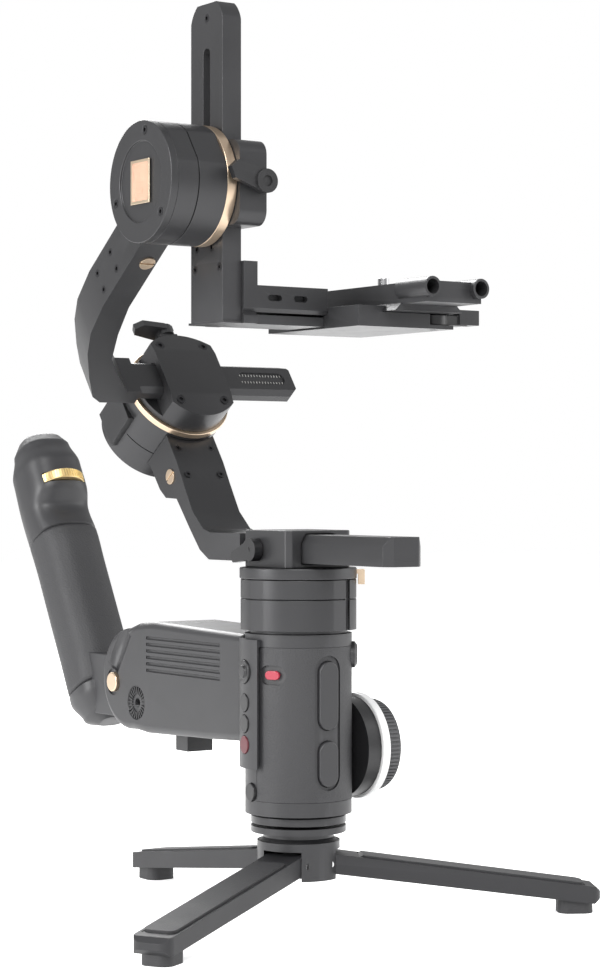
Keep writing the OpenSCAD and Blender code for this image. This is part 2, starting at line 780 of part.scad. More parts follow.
// L-shaped arm: a rail through the clamp, then a broad curve forwards to the tilt motor
module roll_arm() {
    v = roll_arm_w / 2;
    in_x = roll_arm_x + roll_arm_t;
    color(casing) difference() {
        union() {
            roll_frame() along_x(-52, roll_bar_end) rail_2d(0);
            roll_frame() translate([0, v, 0]) rotate([90, 0, 0]) linear_extrude(2 * v)
                polygon([[roll_arm_x, -30], [roll_arm_x, -88], [roll_arm_x + 3, -112],
                    [roll_arm_x + 9, -130], [roll_arm_x + 20, -152],
                    [roll_arm_x + 30, -rail_at - 6], [roll_arm_x + 37, -rail_at - rail_t],
                    [-38, -rail_at - rail_t], [-38, -rail_at],
                    [-48, -rail_at], [-60, -150], [in_x + 10, -134],
                    [in_x + 4, -112], [in_x, -88], [in_x, -30]]);
        }
        tilt_disc(motor_r + 0.1, roll_arm_x - 60, 0);
        // long recess that holds the balance scale
        roll_frame() translate([52, 0, -rail_at - 1]) linear_extrude(3)
            slot_2d(34, 9);
        // bevelled end of the rail
        for (s = [-1, 1]) roll_frame() translate([roll_bar_end, s * rail_w / 2, -rail_at - 6])
            rotate([0, 0, 45]) cube([6, 6, 30], center = true);
        arm_screw_places() screw_pocket(2.4, 6);
        tilt_knob_place() translate([0, 0, -4.2]) cylinder(r = 4.6 + shaft_gap, h = 12);
    }
}

module arm_screw_places() {
    roll_frame() for (x = [-9, 9], y = [-6, 6])
        translate([roll_arm_x, y, -72.5 + x]) rotate([0, -90, 0]) children();
}

module tilt_knob_place() {
    roll_frame() translate([roll_arm_x + roll_arm_t - 6, -roll_arm_w / 2, -50])
        rotate([90, 0, 0]) children();
}

module cap_screw_places() {
    for (a = [10, 130, 250]) translate([tilt_cap_x - tilt_cap_t, gimbal_y, gimbal_z])
        rotate([a, 0, 0]) translate([0, 0, motor_r - 5.2]) rotate([0, -90, 0]) children();
}

module roll_arm_screws() {
    color("dimgray") {
        arm_screw_places() cap_screw(2.4, 6);
        cap_screw_places() cap_screw(2.4, 4);
    }
}

// ---------------------------------------------------------------- tilt axis
module tilt_motor_housing() {
    color(casing) difference() {
        intersection() {
            tilt_disc(motor_r, tilt_cap_x, tilt_housing_x);
            // flat facets on the upper front of the casing
            along_x(tilt_cap_x - 1, tilt_housing_x + 1) translate([gimbal_y, gimbal_z])
                rotate(55) square([4 * motor_r, 2 * motor_r - 3], center = true);
        }
        tilt_disc(shaft_r + shaft_gap, tilt_cap_x + 6, 0);
        difference() {
            tilt_disc(motor_r + 2, -94.6, -94);
            tilt_disc(motor_r - 2.5, -96, -93);
        }
    }
}

module tilt_cap() {
    color(casing) difference() {
        tilt_disc(motor_r, tilt_cap_x - tilt_cap_t, tilt_cap_x);
        tilt_disc(22, tilt_cap_x - tilt_cap_t - 1, tilt_cap_x - tilt_cap_t + 1.2);
        cap_screw_places() screw_pocket(2.4, 4);
    }
    // plain badge plate
    color("#efd8c8") translate([tilt_cap_x - tilt_cap_t + 0.2, gimbal_y, gimbal_z])
        rotate([0, 90, 0]) linear_extrude(1) round_rect([22, 17], 4);
}

module tilt_ring() {
    color(champagne) difference() {
        tilt_disc(motor_r, tilt_housing_x, tilt_ring_x);
        tilt_disc(motor_r - 3.6, tilt_housing_x - 1, tilt_ring_x + 1);
    }
}

module tilt_lock_knob() {
    color(champagne) tilt_knob_place() translate([0, 0, 0.8]) lock_knob_shape(4.6, 4.6);
}

module tilt_clamp() {
    depth = clamp_x - tilt_ring_x - body_gap;
    color(casing) difference() {
        union() {
            tilt_disc(motor_r - 3.6 - body_gap, tilt_housing_x + body_gap, tilt_ring_x + 1);
            tilt_disc(shaft_r, tilt_cap_x + 8, tilt_housing_x + 1);
            translate([tilt_ring_x + body_gap, gimbal_y, gimbal_z]) rotate([90, 0, 90])
                linear_extrude(depth) round_rect([2 * clamp_y_half, 2 * clamp_z_half], 8);
        }
        translate([post_x - slide_gap, gimbal_y - post_w / 2 - slide_gap, gimbal_z - 60])
            cube([post_t + 2 * slide_gap, post_w + 2 * slide_gap, 120]);
        translate([clamp_x - 4, gimbal_y - clamp_y_half - 1, gimbal_z]) rotate([-90, 0, 0])
            cylinder(r = 2.5 + shaft_gap, h = 12);
    }
}

module tilt_lever() {
    color(dark) translate([clamp_x - 4, gimbal_y - clamp_y_half - body_gap, gimbal_z])
        rotate([90, 0, 0]) {
            translate([0, 0, -10]) cylinder(r = 2.5, h = 11);
            difference() {
                cylinder(r = 6.5, h = lever_y);
                translate([0, 0, lever_y - 1]) cylinder(r = 3, h = 2);
            }
            translate([0, 0, 2]) rotate([0, 0, 164]) lever_wing(23);
        }
}

// ---------------------------------------------------------------- camera mount
module camera_post() {
    color(casing) difference() {
        translate([post_x, gimbal_y, post_top - post_len]) rotate([90, 0, 90])
            linear_extrude(post_t) {
                translate([-post_w / 2, 0]) square([post_w, post_len - 14]);
                translate([0, post_len - 14]) intersection() {
                    circle(r = post_w / 2 + 0.6, $fn = 96);
                    translate([-post_w / 2, -2]) square([post_w, 16]);
                }
            }
        // lift slot
        along_x(post_x - 1, post_x + post_t + 1)
            translate([gimbal_y, (slot_top + gimbal_z - 28) / 2])
                rotate(90) slot_2d(slot_top - gimbal_z + 28, post_slot);
        translate([post_x, gimbal_y, post_top - 8]) rotate([0, -90, 0]) screw_pocket(2.4, 5);
        for (p = bracket_screws) translate([post_x, gimbal_y + p[0], gimbal_z + p[1]])
            rotate([0, -90, 0]) screw_pocket(2.4, 6);
    }
}

bracket_screws = [[10, -33.5], [-5, -33.5], [12, -44.5], [-13, -44.5]];

module camera_arm() {
    color(casing) difference() {
        union() {
            // upright bracket beside the post
            translate([post_x + post_t, camera_front, rail_z]) cube([9, 40, 34]);
            // level arm towards the plate
            translate([post_x + post_t, camera_front, camera_arm_z])
                cube([camera_arm_end - post_x - post_t, camera_back - camera_front, camera_arm_h]);
            // lower rail that the quick-release base slides on
            translate([post_x + post_t, camera_front + 4, rail_z])
                cube([24 + 11 - post_x - post_t, camera_back - camera_front - 8, 5.2]);
            // foot under the post's lower end
            translate([post_x, camera_front + 2, rail_z])
                cube([post_t + 2, 36, post_top - post_len - rail_z]);
        }
        // two cable ports
        for (x = [-37, -20]) translate([x, camera_front - 1, camera_arm_z + 8]) rotate([-90, 0, 0])
            linear_extrude(5) slot_2d(9, 3.4);
        // bevel on the arm's lower front edge
        translate([post_x, camera_front, camera_arm_z]) rotate([45, 0, 0])
            cube([200, 3, 3], center = true);
    }
}

module post_screws() {
    color("dimgray") {
        translate([post_x, gimbal_y, post_top - 8]) rotate([0, -90, 0]) cap_screw(2.4, 5);
        for (p = bracket_screws) translate([post_x, gimbal_y + p[0], gimbal_z + p[1]])
            rotate([0, -90, 0]) cap_screw(2.4, 6);
    }
}

module quick_release_base() {
    color(casing) difference() {
        translate([base_x, base_front, base_z])
            cube([base_len, base_back - base_front, base_h]);
        // guide for the camera arm's rail
        translate([post_x, camera_front + 4 - slide_gap, rail_z - slide_gap])
            cube([24 + 11.5 - post_x, camera_back - camera_front - 8 + 2 * slide_gap,
                5.2 + 2 * slide_gap]);
        translate([post_x, camera_front - slide_gap, camera_arm_z - slide_gap])
            cube([camera_arm_end - post_x + slide_gap,
                camera_back - camera_front + 2 * slide_gap, camera_arm_h + 2]);
        plate_profile(slide_gap, base_front - 1, base_back + 1);
        // notch and pin hole of the lever
        translate([lever_x - lever_hub_r - 0.8, base_front - 1, lever_low - body_gap])
            cube([40, 9 + lever_hub_r + 0.8, lever_h + 2 * body_gap]);
        translate([lever_x, lever_front, base_z - 1])
            cylinder(r = lever_pin_r + shaft_gap, h = 6);
    }
}

module plate_profile(grow, from, to) {
    a = plate_x - grow;
    b = plate_x + plate_w + grow;
    translate([0, to, 0]) rotate([90, 0, 0]) linear_extrude(to - from)
        polygon([[a, plate_z - grow], [b, plate_z - grow], [b - dovetail, plate_z + 4 + grow],
            [a + dovetail, plate_z + 4 + grow]]);
}

module quick_release_lever() {
    color(dark) translate([lever_x, lever_front, 0]) {
        translate([0, 0, base_z + 0.3]) cylinder(r = lever_pin_r, h = lever_low - base_z + 1);
        translate([0, 0, lever_low]) cylinder(r = lever_hub_r, h = lever_h);
        translate([0, -5, lever_low]) cube([20, 10, lever_h]);
        translate([14, -6, lever_low + 0.5]) cube([14, 12, lever_h + 3]);
    }
}

module quick_release_plate() {
    back = plate_front + plate_len;
    color(casing) difference() {
        union() {
            plate_profile(0, plate_front + 26, back);
            translate([plate_x + dovetail, plate_front + 4, plate_z + 3.5])
                cube([plate_w - 2 * dovetail, plate_len - 4, plate_h - 3.5]);
            for (x = rod_x) translate([x, plate_front + 28, rod_z]) rotate([90, 0, 0])
                cylinder(d = rod_d, h = 28);
        }
        for (x = rod_x) translate([x, plate_front + 20, rod_z]) rotate([90, 0, 0])
            cylinder(r = rod_d / 2 - 1.4, h = 22);
        // slot and counterbore of the camera screw
        translate([plate_x + plate_w / 2, screw_y, plate_z - 1])
            cylinder(r = screw_collar_r + shaft_gap, h = plate_h + 2);
        translate([plate_x + plate_w / 2, screw_y, plate_z - 1]) cylinder(r = 8.5, h = 6);
        // long lightening slot behind the screw
        translate([plate_x + plate_w / 2, screw_y + 50, plate_z - 1]) linear_extrude(plate_h + 2)
            rotate(90) slot_2d(52, 7);
    }
}

module camera_screw() {
    color("silver") translate([plate_x + plate_w / 2, screw_y, plate_z]) {
        translate([0, 0, 1]) cylinder(r = 8.2, h = 3.6);
        translate([0, 0, 1]) cylinder(r = screw_collar_r, h = plate_h - 1);
        translate([0, 0, plate_h - 1]) cylinder(r = camera_screw_r, h = camera_screw_len + 1);
    }
}

// ---------------------------------------------------------------- connector
module connector_2d() {
    low = connector_low;
    polygon([[20, low + 5], [60, low + 3], [fold_y - 22, low + 0.2], [fold_y, fold_z - fold_r],
        [fold_y, fold_z + fold_r], [140, low + 67.3], [124, low + 69], [95, low + 68],
        [20, low + 66]]);
    translate([fold_y, fold_z]) circle(fold_r, $fn = 96);
}

module connector_body() {
    half = connector_w / 2;
    color(casing) difference() {
        along_x(-half, half) connector_2d();
        // hollow that seats on the grip's casing
        translate([0, 0, grip_z]) cylinder(r = grip_r + shaft_gap, h = grip_h + 20, $fn = 96);
        // slot and pin bore for the sling handle's tongue
        translate([-tongue_w / 2 - slide_gap, fold_y, fold_z]) rotate([0, 90, 0])
            linear_extrude(tongue_w + 2 * slide_gap) {
                circle(knuckle_r + 1.2);
                for (a = [24, 46, 68, 91]) rotate(a) translate([0, -knuckle_r - 0.5])
                    square([fold_r + 20, 2 * knuckle_r + 1]);
            }
        // rib panel on each side
        for (s = [-1, 1], i = [0 : 5])
            translate([s * half, 85, connector_low + 38.6 + 3.4 * i])
                cube([1.6, 84, 1.4], center = true);
        // threaded accessory hole inside each rosette
        for (s = [-1, 1]) translate([s * half, 140, connector_low + 18.4])
            rotate([0, s * 90, 0]) translate([0, 0, -8]) cylinder(r = 3, h = 14);
        // thumb scoop beside the release button
        for (s = [-1, 1]) translate([s * (half + 5), 160, connector_low + 48]) rotate([35, 0, 0])
            rotate([90, 0, 0]) cylinder(r = 6.6, h = 22, center = true);
        translate([-half - 1, 168, connector_low + 29.4]) rotate([0, 90, 0])
            cylinder(r = 6 + shaft_gap, h = 6);
        // pocket for the latch plate
        translate([-latch_w / 2 - slide_gap, latch_y - slide_gap, connector_low - 6])
            cube([latch_w + 2 * slide_gap, latch_len + 2 * slide_gap, 16]);
    }
    // rosette teeth
    color(casing) for (s = [-1, 1]) translate([s * half, 140, connector_low + 18.4])
        rotate([0, s * 90, 0]) difference() {
            translate([0, 0, -0.5]) cylinder(r = 10.5, h = 1.7);
            translate([0, 0, -2]) cylinder(r = 6.5, h = 8);
            for (a = [0 : 15 : 345]) rotate([0, 0, a]) translate([8.5, 0, 1.6])
                rotate([45, 0, 0]) cube([6, 1, 1], center = true);
        }
    color("silver") translate([-tongue_w / 2 - 4, fold_y, fold_z]) rotate([0, 90, 0])
        cylinder(r = fold_pin_r, h = tongue_w + 8);
}

module release_button() {
    color(champagne) translate([-connector_w / 2 - 1.5, 168, connector_low + 29.4])
        rotate([0, 90, 0]) cylinder(r = 6, h = 5);
}

module latch_plate() {
    color(dark) translate([-latch_w / 2, latch_y, connector_low - 9.5])
        cube([latch_w, latch_len, 17]);
}

// ---------------------------------------------------------------- sling handle
// Rows up the handle: distance behind the yaw axis, height over the connector's underside,
// half depth, and width as a share of the handle's
handle_rows = [[214, 1, 12, 0.72], [225, 16, 20, 0.95], [240, 47, 21.5, 0.98],
    [290, 137, 24, 1.02], [308, 170, 20, 0.95], [313, 182, 10, 0.57]];
sleeve_t = 1.6;
dial_at = [286, 151.5];
dial_r = 17;
dial_h = 6.5;

module handle_frame(y, z) {
    translate([0, y, connector_low + z]) rotate([-handle_lean, 0, 0]) children();
}

module handle_section(row, shrink, h) {
    width = row[3] * handle_w - 2 * shrink;
    depth = 2 * (row[2] - shrink);
    handle_frame(row[0], row[1]) translate([0, 0, -h / 2]) linear_extrude(h)
        round_rect([width, depth], min(width, depth) * 0.4, $fn = 32);
}

module handle_run(from, to, shrink) {
    for (i = [from : to - 1]) hull() {
        handle_section(handle_rows[i], shrink, 0.5);
        handle_section(handle_rows[i + 1], shrink, 0.5);
    }
}

module about_fold(r) {
    translate([-60, fold_y, fold_z]) rotate([0, 90, 0]) cylinder(r = r, h = 120, $fn = 96);
}

module handle_shell() {
    color(casing) difference() {
        union() {
            handle_run(0, 5, 0);
            // hinge block between the handle and the connector
            translate([-14, fold_y + 20, fold_z - 26]) cube([28, 66, 38]);
            intersection() {
                translate([-tongue_w / 2, fold_y, fold_z - 9]) cube([tongue_w, 60, 18]);
                about_fold(50);
            }
        }
        difference() {
            handle_run(2, 3, -2);
            handle_run(2, 3, sleeve_t);
        }
        // round end that turns about the connector, all but the tongue
        difference() {
            about_fold(fold_r + 1);
            translate([-tongue_w / 2, fold_y, fold_z - 9]) cube([tongue_w, 60, 18]);
        }
        translate([-80, 0, connector_low - 40]) cube([160, 400, 36]);
        handle_frame(dial_at[0], dial_at[1]) cylinder(r = dial_r + 0.6, h = dial_h + 1,
            center = true);
        handle_frame(dial_at[0], dial_at[1]) cylinder(r = 2 + shaft_gap, h = dial_h + 8,
            center = true);
        handle_frame(handle_rows[5][0], handle_rows[5][1]) translate([0, 0, -4])
            linear_extrude(10) slot_2d(17 + 2 * button_gap, 8 + 2 * button_gap);
        translate([-60, fold_y, fold_z]) rotate([0, 90, 0])
            cylinder(r = fold_pin_r + shaft_gap, h = 120);
    }
    color(casing) difference() {
        translate([-tongue_w / 2, fold_y, fold_z]) rotate([0, 90, 0]) cylinder(r = 9, h = tongue_w);
        translate([-60, fold_y, fold_z]) rotate([0, 90, 0])
            cylinder(r = fold_pin_r + shaft_gap, h = 120);
    }
}

module handle_grip() {
    color(rubber) difference() {
        handle_run(2, 3, 0);
        handle_run(2, 3, sleeve_t);
    }
}

module handle_dial() {
    color(champagne) handle_frame(dial_at[0], dial_at[1]) {
        cylinder(r = dial_r, h = dial_h, center = true);
        cylinder(r = 2, h = dial_h + 7, center = true);
    }
}

module handle_button() {
    color(dark) handle_frame(handle_rows[5][0], handle_rows[5][1]) translate([0, 0, -2.8])
        linear_extrude(4) slot_2d(17, 8);
}

tripod_hub();
leg_pins();
leg_beam(leg_angles[0]);  // leg_beam_left
leg_beam(leg_angles[1]);  // leg_beam_right
leg_beam(leg_angles[2]);  // leg_beam_rear
leg_rubber(leg_angles[0]);  // leg_rubber_left
leg_rubber(leg_angles[1]);  // leg_rubber_right
leg_rubber(leg_angles[2]);  // leg_rubber_rear
base_collar();
grip_shell_left();
grip_shell_right();
grip_rubber();
battery_cells();
control_board();
zoom_rocker();
function_button();
mode_switch();
joystick();
side_button(side_button_z[0], button_d, 0.6, pod_at);  // side_button_top
side_button(side_button_z[1], button_d, 0.6, pod_at);  // side_button_middle
side_button(side_button_z[2], button_d, 0.6, pod_at);  // side_button_low
side_button(thumb_z, button_d, 1.5, thumb_at);  // thumb_button
wheel_base();
focus_wheel();
yaw_motor_housing();
yaw_rotor();
yaw_clamp();
yaw_clamp_lever();
yaw_lock_latch();
yaw_arm();
yaw_arm_screws();
roll_motor_housing();
roll_ring();
roll_lock_knob();
roll_clamp();
roll_clamp_cover();
roll_clamp_screws();
roll_lever();
roll_arm();
roll_arm_screws();
tilt_motor_housing();
tilt_cap();
tilt_ring();
tilt_lock_knob();
tilt_clamp();
tilt_lever();
camera_post();
camera_arm();
post_screws();
quick_release_base();
quick_release_lever();
quick_release_plate();
camera_screw();
connector_body();
release_button();
latch_plate();
handle_shell();
handle_grip();
handle_dial();
handle_button();
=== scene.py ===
"""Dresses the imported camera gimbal: rounded casings, trim, screws, rubber and its studio."""

import json
import logging
import math
from collections.abc import Callable, Sequence
from dataclasses import dataclass, field
from enum import Enum

import bmesh
import bpy
from mathutils import Matrix, Vector


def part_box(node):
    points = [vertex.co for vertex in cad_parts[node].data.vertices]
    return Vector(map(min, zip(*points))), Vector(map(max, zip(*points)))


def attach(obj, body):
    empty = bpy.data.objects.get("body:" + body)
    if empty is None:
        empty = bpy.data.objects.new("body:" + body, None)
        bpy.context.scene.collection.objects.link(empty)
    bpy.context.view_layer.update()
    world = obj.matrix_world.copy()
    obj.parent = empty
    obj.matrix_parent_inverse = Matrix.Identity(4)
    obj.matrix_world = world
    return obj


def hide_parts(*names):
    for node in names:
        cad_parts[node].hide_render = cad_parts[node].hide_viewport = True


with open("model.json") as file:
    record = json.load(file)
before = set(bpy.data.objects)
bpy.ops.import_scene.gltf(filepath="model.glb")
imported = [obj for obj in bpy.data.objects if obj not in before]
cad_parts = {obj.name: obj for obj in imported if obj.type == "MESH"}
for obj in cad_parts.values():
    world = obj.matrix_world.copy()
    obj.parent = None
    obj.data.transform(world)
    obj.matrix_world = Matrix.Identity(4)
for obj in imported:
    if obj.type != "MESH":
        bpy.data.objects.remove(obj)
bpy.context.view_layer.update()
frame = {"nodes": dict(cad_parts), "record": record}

log = logging.getLogger("gimbal")

MM = 0.001
BODY_OF = {n: b for b, ns in frame["record"]["behaviour"]["bodies"].items() for n in ns}
SLOT_OF = {s["node"]: s["material_slot"] for s in frame["record"]["subparts"]}
ROLL_RISE = math.radians(36.5)
ROLL_AXIS = Vector((0.0, -math.cos(ROLL_RISE), math.sin(ROLL_RISE)))
ROLL_UP = Vector((0.0, math.sin(ROLL_RISE), math.cos(ROLL_RISE)))
HANDLE_LEAN = math.radians(29.0)


class Grain(Enum):
    """Kinds of fine surface relief."""

    BLASTED = "blasted"
    MOULDED = "moulded"
    PEBBLE = "pebble"
    BRUSHED = "brushed"


# ------------------------------------------------------------------ shader groups
def _new_group(name: str, inputs: Sequence[tuple], outputs: Sequence[tuple]) -> tuple:
    """Makes an empty shader node group.

    Args:
        name: the group's name.
        inputs: (name, socket type, default) of each input; a default may be None.
        outputs: (name, socket type) of each output.

    Returns:
        The group, its input node and its output node.
    """
    group = bpy.data.node_groups.new(name, "ShaderNodeTree")
    for label, kind, default in inputs:
        made = group.interface.new_socket(name=label, in_out="INPUT", socket_type=kind)
        if default is not None:
            made.default_value = default
    for label, kind in outputs:
        group.interface.new_socket(name=label, in_out="OUTPUT", socket_type=kind)
    return group, group.nodes.new("NodeGroupInput"), group.nodes.new("NodeGroupOutput")


def grain_group(kind: Grain) -> bpy.types.NodeTree:
    """Relief of one kind as a height between 0 and 1, made once.

    Args:
        kind: which relief.

    Returns:
        A group with Vector and Scale in, and Height out.
    """
    name = f"grain_{kind.value}"
    if name in bpy.data.node_groups:
        return bpy.data.node_groups[name]
    group, given, put = _new_group(
        name,
        [("Vector", "NodeSocketVector", None), ("Scale", "NodeSocketFloat", 900.0)],
        [("Height", "NodeSocketFloat")],
    )
    link = group.links.new
    if kind is Grain.PEBBLE:
        cells = group.nodes.new("ShaderNodeTexVoronoi")
        cells.feature = "SMOOTH_F1"
        cells.inputs["Smoothness"].default_value = 0.55
        link(given.outputs["Vector"], cells.inputs["Vector"])
        link(given.outputs["Scale"], cells.inputs["Scale"])
        turned = group.nodes.new("ShaderNodeMath")
        turned.operation = "SUBTRACT"
        turned.inputs[0].default_value = 1.0
        link(cells.outputs["Distance"], turned.inputs[1])
        link(turned.outputs[0], put.inputs["Height"])
        return group
    noise = group.nodes.new("ShaderNodeTexNoise")
    noise.inputs["Detail"].default_value = 2.0 if kind is Grain.BLASTED else 4.0
    noise.inputs["Roughness"].default_value = 0.6
    link(given.outputs["Scale"], noise.inputs["Scale"])
    if kind is Grain.BRUSHED:
        stretch = group.nodes.new("ShaderNodeMapping")
        stretch.inputs["Scale"].default_value = (1.0, 1.0, 0.06)
        link(given.outputs["Vector"], stretch.inputs["Vector"])
        link(stretch.outputs["Vector"], noise.inputs["Vector"])
    else:
        link(given.outputs["Vector"], noise.inputs["Vector"])
    link(noise.outputs["Fac"], put.inputs["Height"])
    return group


def mottle_and_edge_highlight_group() -> bpy.types.NodeTree:
    """Mottled colour and roughness with a painted highlight that lightens the edges, made once.

    Returns:
        A group with Vector, Edge, Colour, the painted highlight colour and Roughness in; Colour and
        Roughness out.
    """
    name = "handled_surface"
    if name in bpy.data.node_groups:
        return bpy.data.node_groups[name]
    group, given, put = _new_group(
        name,
        [
            ("Vector", "NodeSocketVector", None),
            ("Edge", "NodeSocketFloat", 0.5),
            ("Colour", "NodeSocketColor", (0.1, 0.1, 0.1, 1.0)),
            ("Worn", "NodeSocketColor", (0.3, 0.3, 0.3, 1.0)),
            ("Roughness", "NodeSocketFloat", 0.5),
        ],
        [("Colour", "NodeSocketColor"), ("Roughness", "NodeSocketFloat")],
    )
    link = group.links.new
    blotch = group.nodes.new("ShaderNodeTexNoise")
    blotch.inputs["Scale"].default_value = 45.0
    blotch.inputs["Detail"].default_value = 5.0
    link(given.outputs["Vector"], blotch.inputs["Vector"])
    # Painted highlight: pointiness picks out convex edges, and a lighter colour is painted on them,
    # broken up by the mottle.
    edge = group.nodes.new("ShaderNodeMapRange")
    edge.inputs["From Min"].default_value = 0.53
    edge.inputs["From Max"].default_value = 0.63
    edge.inputs["To Max"].default_value = 0.55
    link(given.outputs["Edge"], edge.inputs["Value"])
    painted_highlight_amount = group.nodes.new("ShaderNodeMath")
    painted_highlight_amount.operation = "MULTIPLY"
    link(edge.outputs["Result"], painted_highlight_amount.inputs[0])
    link(blotch.outputs["Fac"], painted_highlight_amount.inputs[1])
    colour = group.nodes.new("ShaderNodeMix")
    colour.data_type = "RGBA"
    link(painted_highlight_amount.outputs[0], colour.inputs["Factor"])
    link(given.outputs["Colour"], colour.inputs["A"])
    link(given.outputs["Worn"], colour.inputs["B"])
    link(colour.outputs["Result"], put.inputs["Colour"])
    spread = group.nodes.new("ShaderNodeMapRange")
    spread.inputs["To Min"].default_value = -0.07
    spread.inputs["To Max"].default_value = 0.07
    link(blotch.outputs["Fac"], spread.inputs["Value"])
    total = group.nodes.new("ShaderNodeMath")
    total.operation = "ADD"
    link(given.outputs["Roughness"], total.inputs[0])
    link(spread.outputs["Result"], total.inputs[1])
    link(total.outputs[0], put.inputs["Roughness"])
    return group


@dataclass(frozen=True)
class Finish:
    """One surface finish and the material that gives it."""

    name: str
    colour: tuple[float, float, float]
    roughness: float
    grain: Grain
    metallic: float = 0.0
    grain_scale: float = 900.0
    relief: float = 0.12
    depth_mm: float = 0.05
    # How much lighter the painted edge highlight is than the finish's own colour.
    highlight_gain: float = 1.9
    coat: float = 0.0
    glow: float = 0.0

    def material(self) -> bpy.types.Material:
        """Makes the material, or returns it when it was made before."""
        if self.name in bpy.data.materials:
            return bpy.data.materials[self.name]
        made = bpy.data.materials.new(self.name)
        made.use_nodes = True
        nodes, link = made.node_tree.nodes, made.node_tree.links.new
        shader = nodes["Principled BSDF"]
        shader.inputs["Metallic"].default_value = self.metallic
        shader.inputs["Coat Weight"].default_value = self.coat
        shader.inputs["Emission Color"].default_value = (1.0, 1.0, 1.0, 1.0)
        shader.inputs["Emission Strength"].default_value = self.glow
        place = nodes.new("ShaderNodeTexCoord").outputs["Object"]
        mottle_and_highlight = nodes.new("ShaderNodeGroup")
        mottle_and_highlight.node_tree = mottle_and_edge_highlight_group()
        mottle_and_highlight.inputs["Colour"].default_value = (*self.colour, 1.0)
        # The lighter colour painted on edges is a painted highlight.
        mottle_and_highlight.inputs["Worn"].default_value = (*(min(c * self.highlight_gain, 1) for c in self.colour), 1)
        mottle_and_highlight.inputs["Roughness"].default_value = self.roughness
        link(place, mottle_and_highlight.inputs["Vector"])
        link(nodes.new("ShaderNodeNewGeometry").outputs["Pointiness"], mottle_and_highlight.inputs["Edge"])
        link(mottle_and_highlight.outputs["Colour"], shader.inputs["Base Color"])
        link(mottle_and_highlight.outputs["Roughness"], shader.inputs["Roughness"])
        grain = nodes.new("ShaderNodeGroup")
        grain.node_tree = grain_group(self.grain)
        grain.inputs["Scale"].default_value = self.grain_scale
        link(place, grain.inputs["Vector"])
        bump = nodes.new("ShaderNodeBump")
        bump.inputs["Strength"].default_value = self.relief
        bump.inputs["Distance"].default_value = self.depth_mm * MM
        link(grain.outputs["Height"], bump.inputs["Height"])
        link(bump.outputs["Normal"], shader.inputs["Normal"])
        return made


CASING = Finish("anodised_casing", (0.038, 0.038, 0.040), 0.36, Grain.BLASTED, 0.45, 2600, 0.16)
SHELL = Finish("moulded_shell", (0.024, 0.024, 0.026), 0.44, Grain.MOULDED, 0.0, 1500, 0.22)
RUBBER = Finish("pebbled_rubber", (0.026, 0.026, 0.028), 0.58, Grain.PEBBLE, 0.0, 950, 0.7, 0.22)
PAD = Finish("grained_rubber", (0.022, 0.022, 0.024), 0.62, Grain.PEBBLE, 0.0, 1500, 0.6, 0.16)
LEG = Finish("leg_coating", (0.019, 0.019, 0.021), 0.5, Grain.BLASTED, 0.2, 2200, 0.2)
DARK = Finish("black_plastic", (0.012, 0.012, 0.013), 0.4, Grain.MOULDED, 0.0, 1300, 0.15)
GOLD = Finish("champagne_metal", (0.62, 0.48, 0.35), 0.3, Grain.BRUSHED, 0.9, 1800, 0.06)
KNURL = Finish("knurled_brass", (0.60, 0.45, 0.22), 0.32, Grain.BRUSHED, 0.9, 1500, 0.08)
STEEL = Finish("plain_steel", (0.55, 0.55, 0.56), 0.3, Grain.BRUSHED, 1.0, 1500, 0.1)
BLACK_STEEL = Finish("black_steel", (0.045, 0.045, 0.048), 0.3, Grain.BRUSHED, 0.8, 1500, 0.1)
WHITE = Finish("white_ring", (0.70, 0.70, 0.70), 0.35, Grain.MOULDED, 0.0, 1200, 0.06, coat=0.2)
WHEEL_GREY = Finish("wheel_rubber", (0.05, 0.05, 0.053), 0.55, Grain.MOULDED, 0.0, 1200, 0.2)
RED = Finish("red_cap", (0.30, 0.015, 0.035), 0.35, Grain.MOULDED, 0.0, 1200, 0.08, coat=0.3)
DULL_RED = Finish("dull_red_cap", (0.09, 0.014, 0.02), 0.45, Grain.MOULDED, 0.0, 1200, 0.1)
BADGE = Finish("blank_badge", (0.50, 0.30, 0.21), 0.5, Grain.BRUSHED, 0.0, 1200, 0.05)
MARK = Finish("scale_mark", (0.46, 0.45, 0.43), 0.5, Grain.MOULDED, 0.0, 1200, 0.05)
CELL = Finish("cell_wrap", (0.05, 0.14, 0.38), 0.35, Grain.MOULDED, 0.0, 1200, 0.05)
BOARD = Finish("circuit_board", (0.02, 0.14, 0.05), 0.45, Grain.MOULDED, 0.0, 1200, 0.1)
FLOOR = Finish("pale_floor", (0.86, 0.86, 0.86), 0.8, Grain.MOULDED, 0.0, 40, 0.02, highlight_gain=1.0,
               glow=0.56)

FINISH_OF_SLOT = {
    "casing": CASING, "shell": SHELL, "rubber": RUBBER, "dark": DARK, "champagne": GOLD,
    "steel": STEEL, "screw": BLACK_STEEL, "white": WHITE, "red": RED, "cell": CELL,
    "board": BOARD,
}


# ------------------------------------------------------------------ mesh helpers
def link_mesh(name: str, mesh: bpy.types.Mesh) -> bpy.types.Object:
    """Puts a mesh in the scene as an object of the same name.

    Args:
        name: the name of both.
        mesh: the mesh.

    Returns:
        The new object.
    """
    mesh.name = name
    made = bpy.data.objects.new(name, mesh)
    bpy.context.scene.collection.objects.link(made)
    return made


def flatten(obj: bpy.types.Object) -> bpy.types.Object:
    """Applies every modifier of an object, so that it is a plain mesh.

    Args:
        obj: the object to flatten.

    Returns:
        The same object.
    """
    graph = bpy.context.evaluated_depsgraph_get()
    mesh = bpy.data.meshes.new_from_object(obj.evaluated_get(graph))
    obj.modifiers.clear()
    obj.data = mesh
    mesh.name = obj.name
    return obj


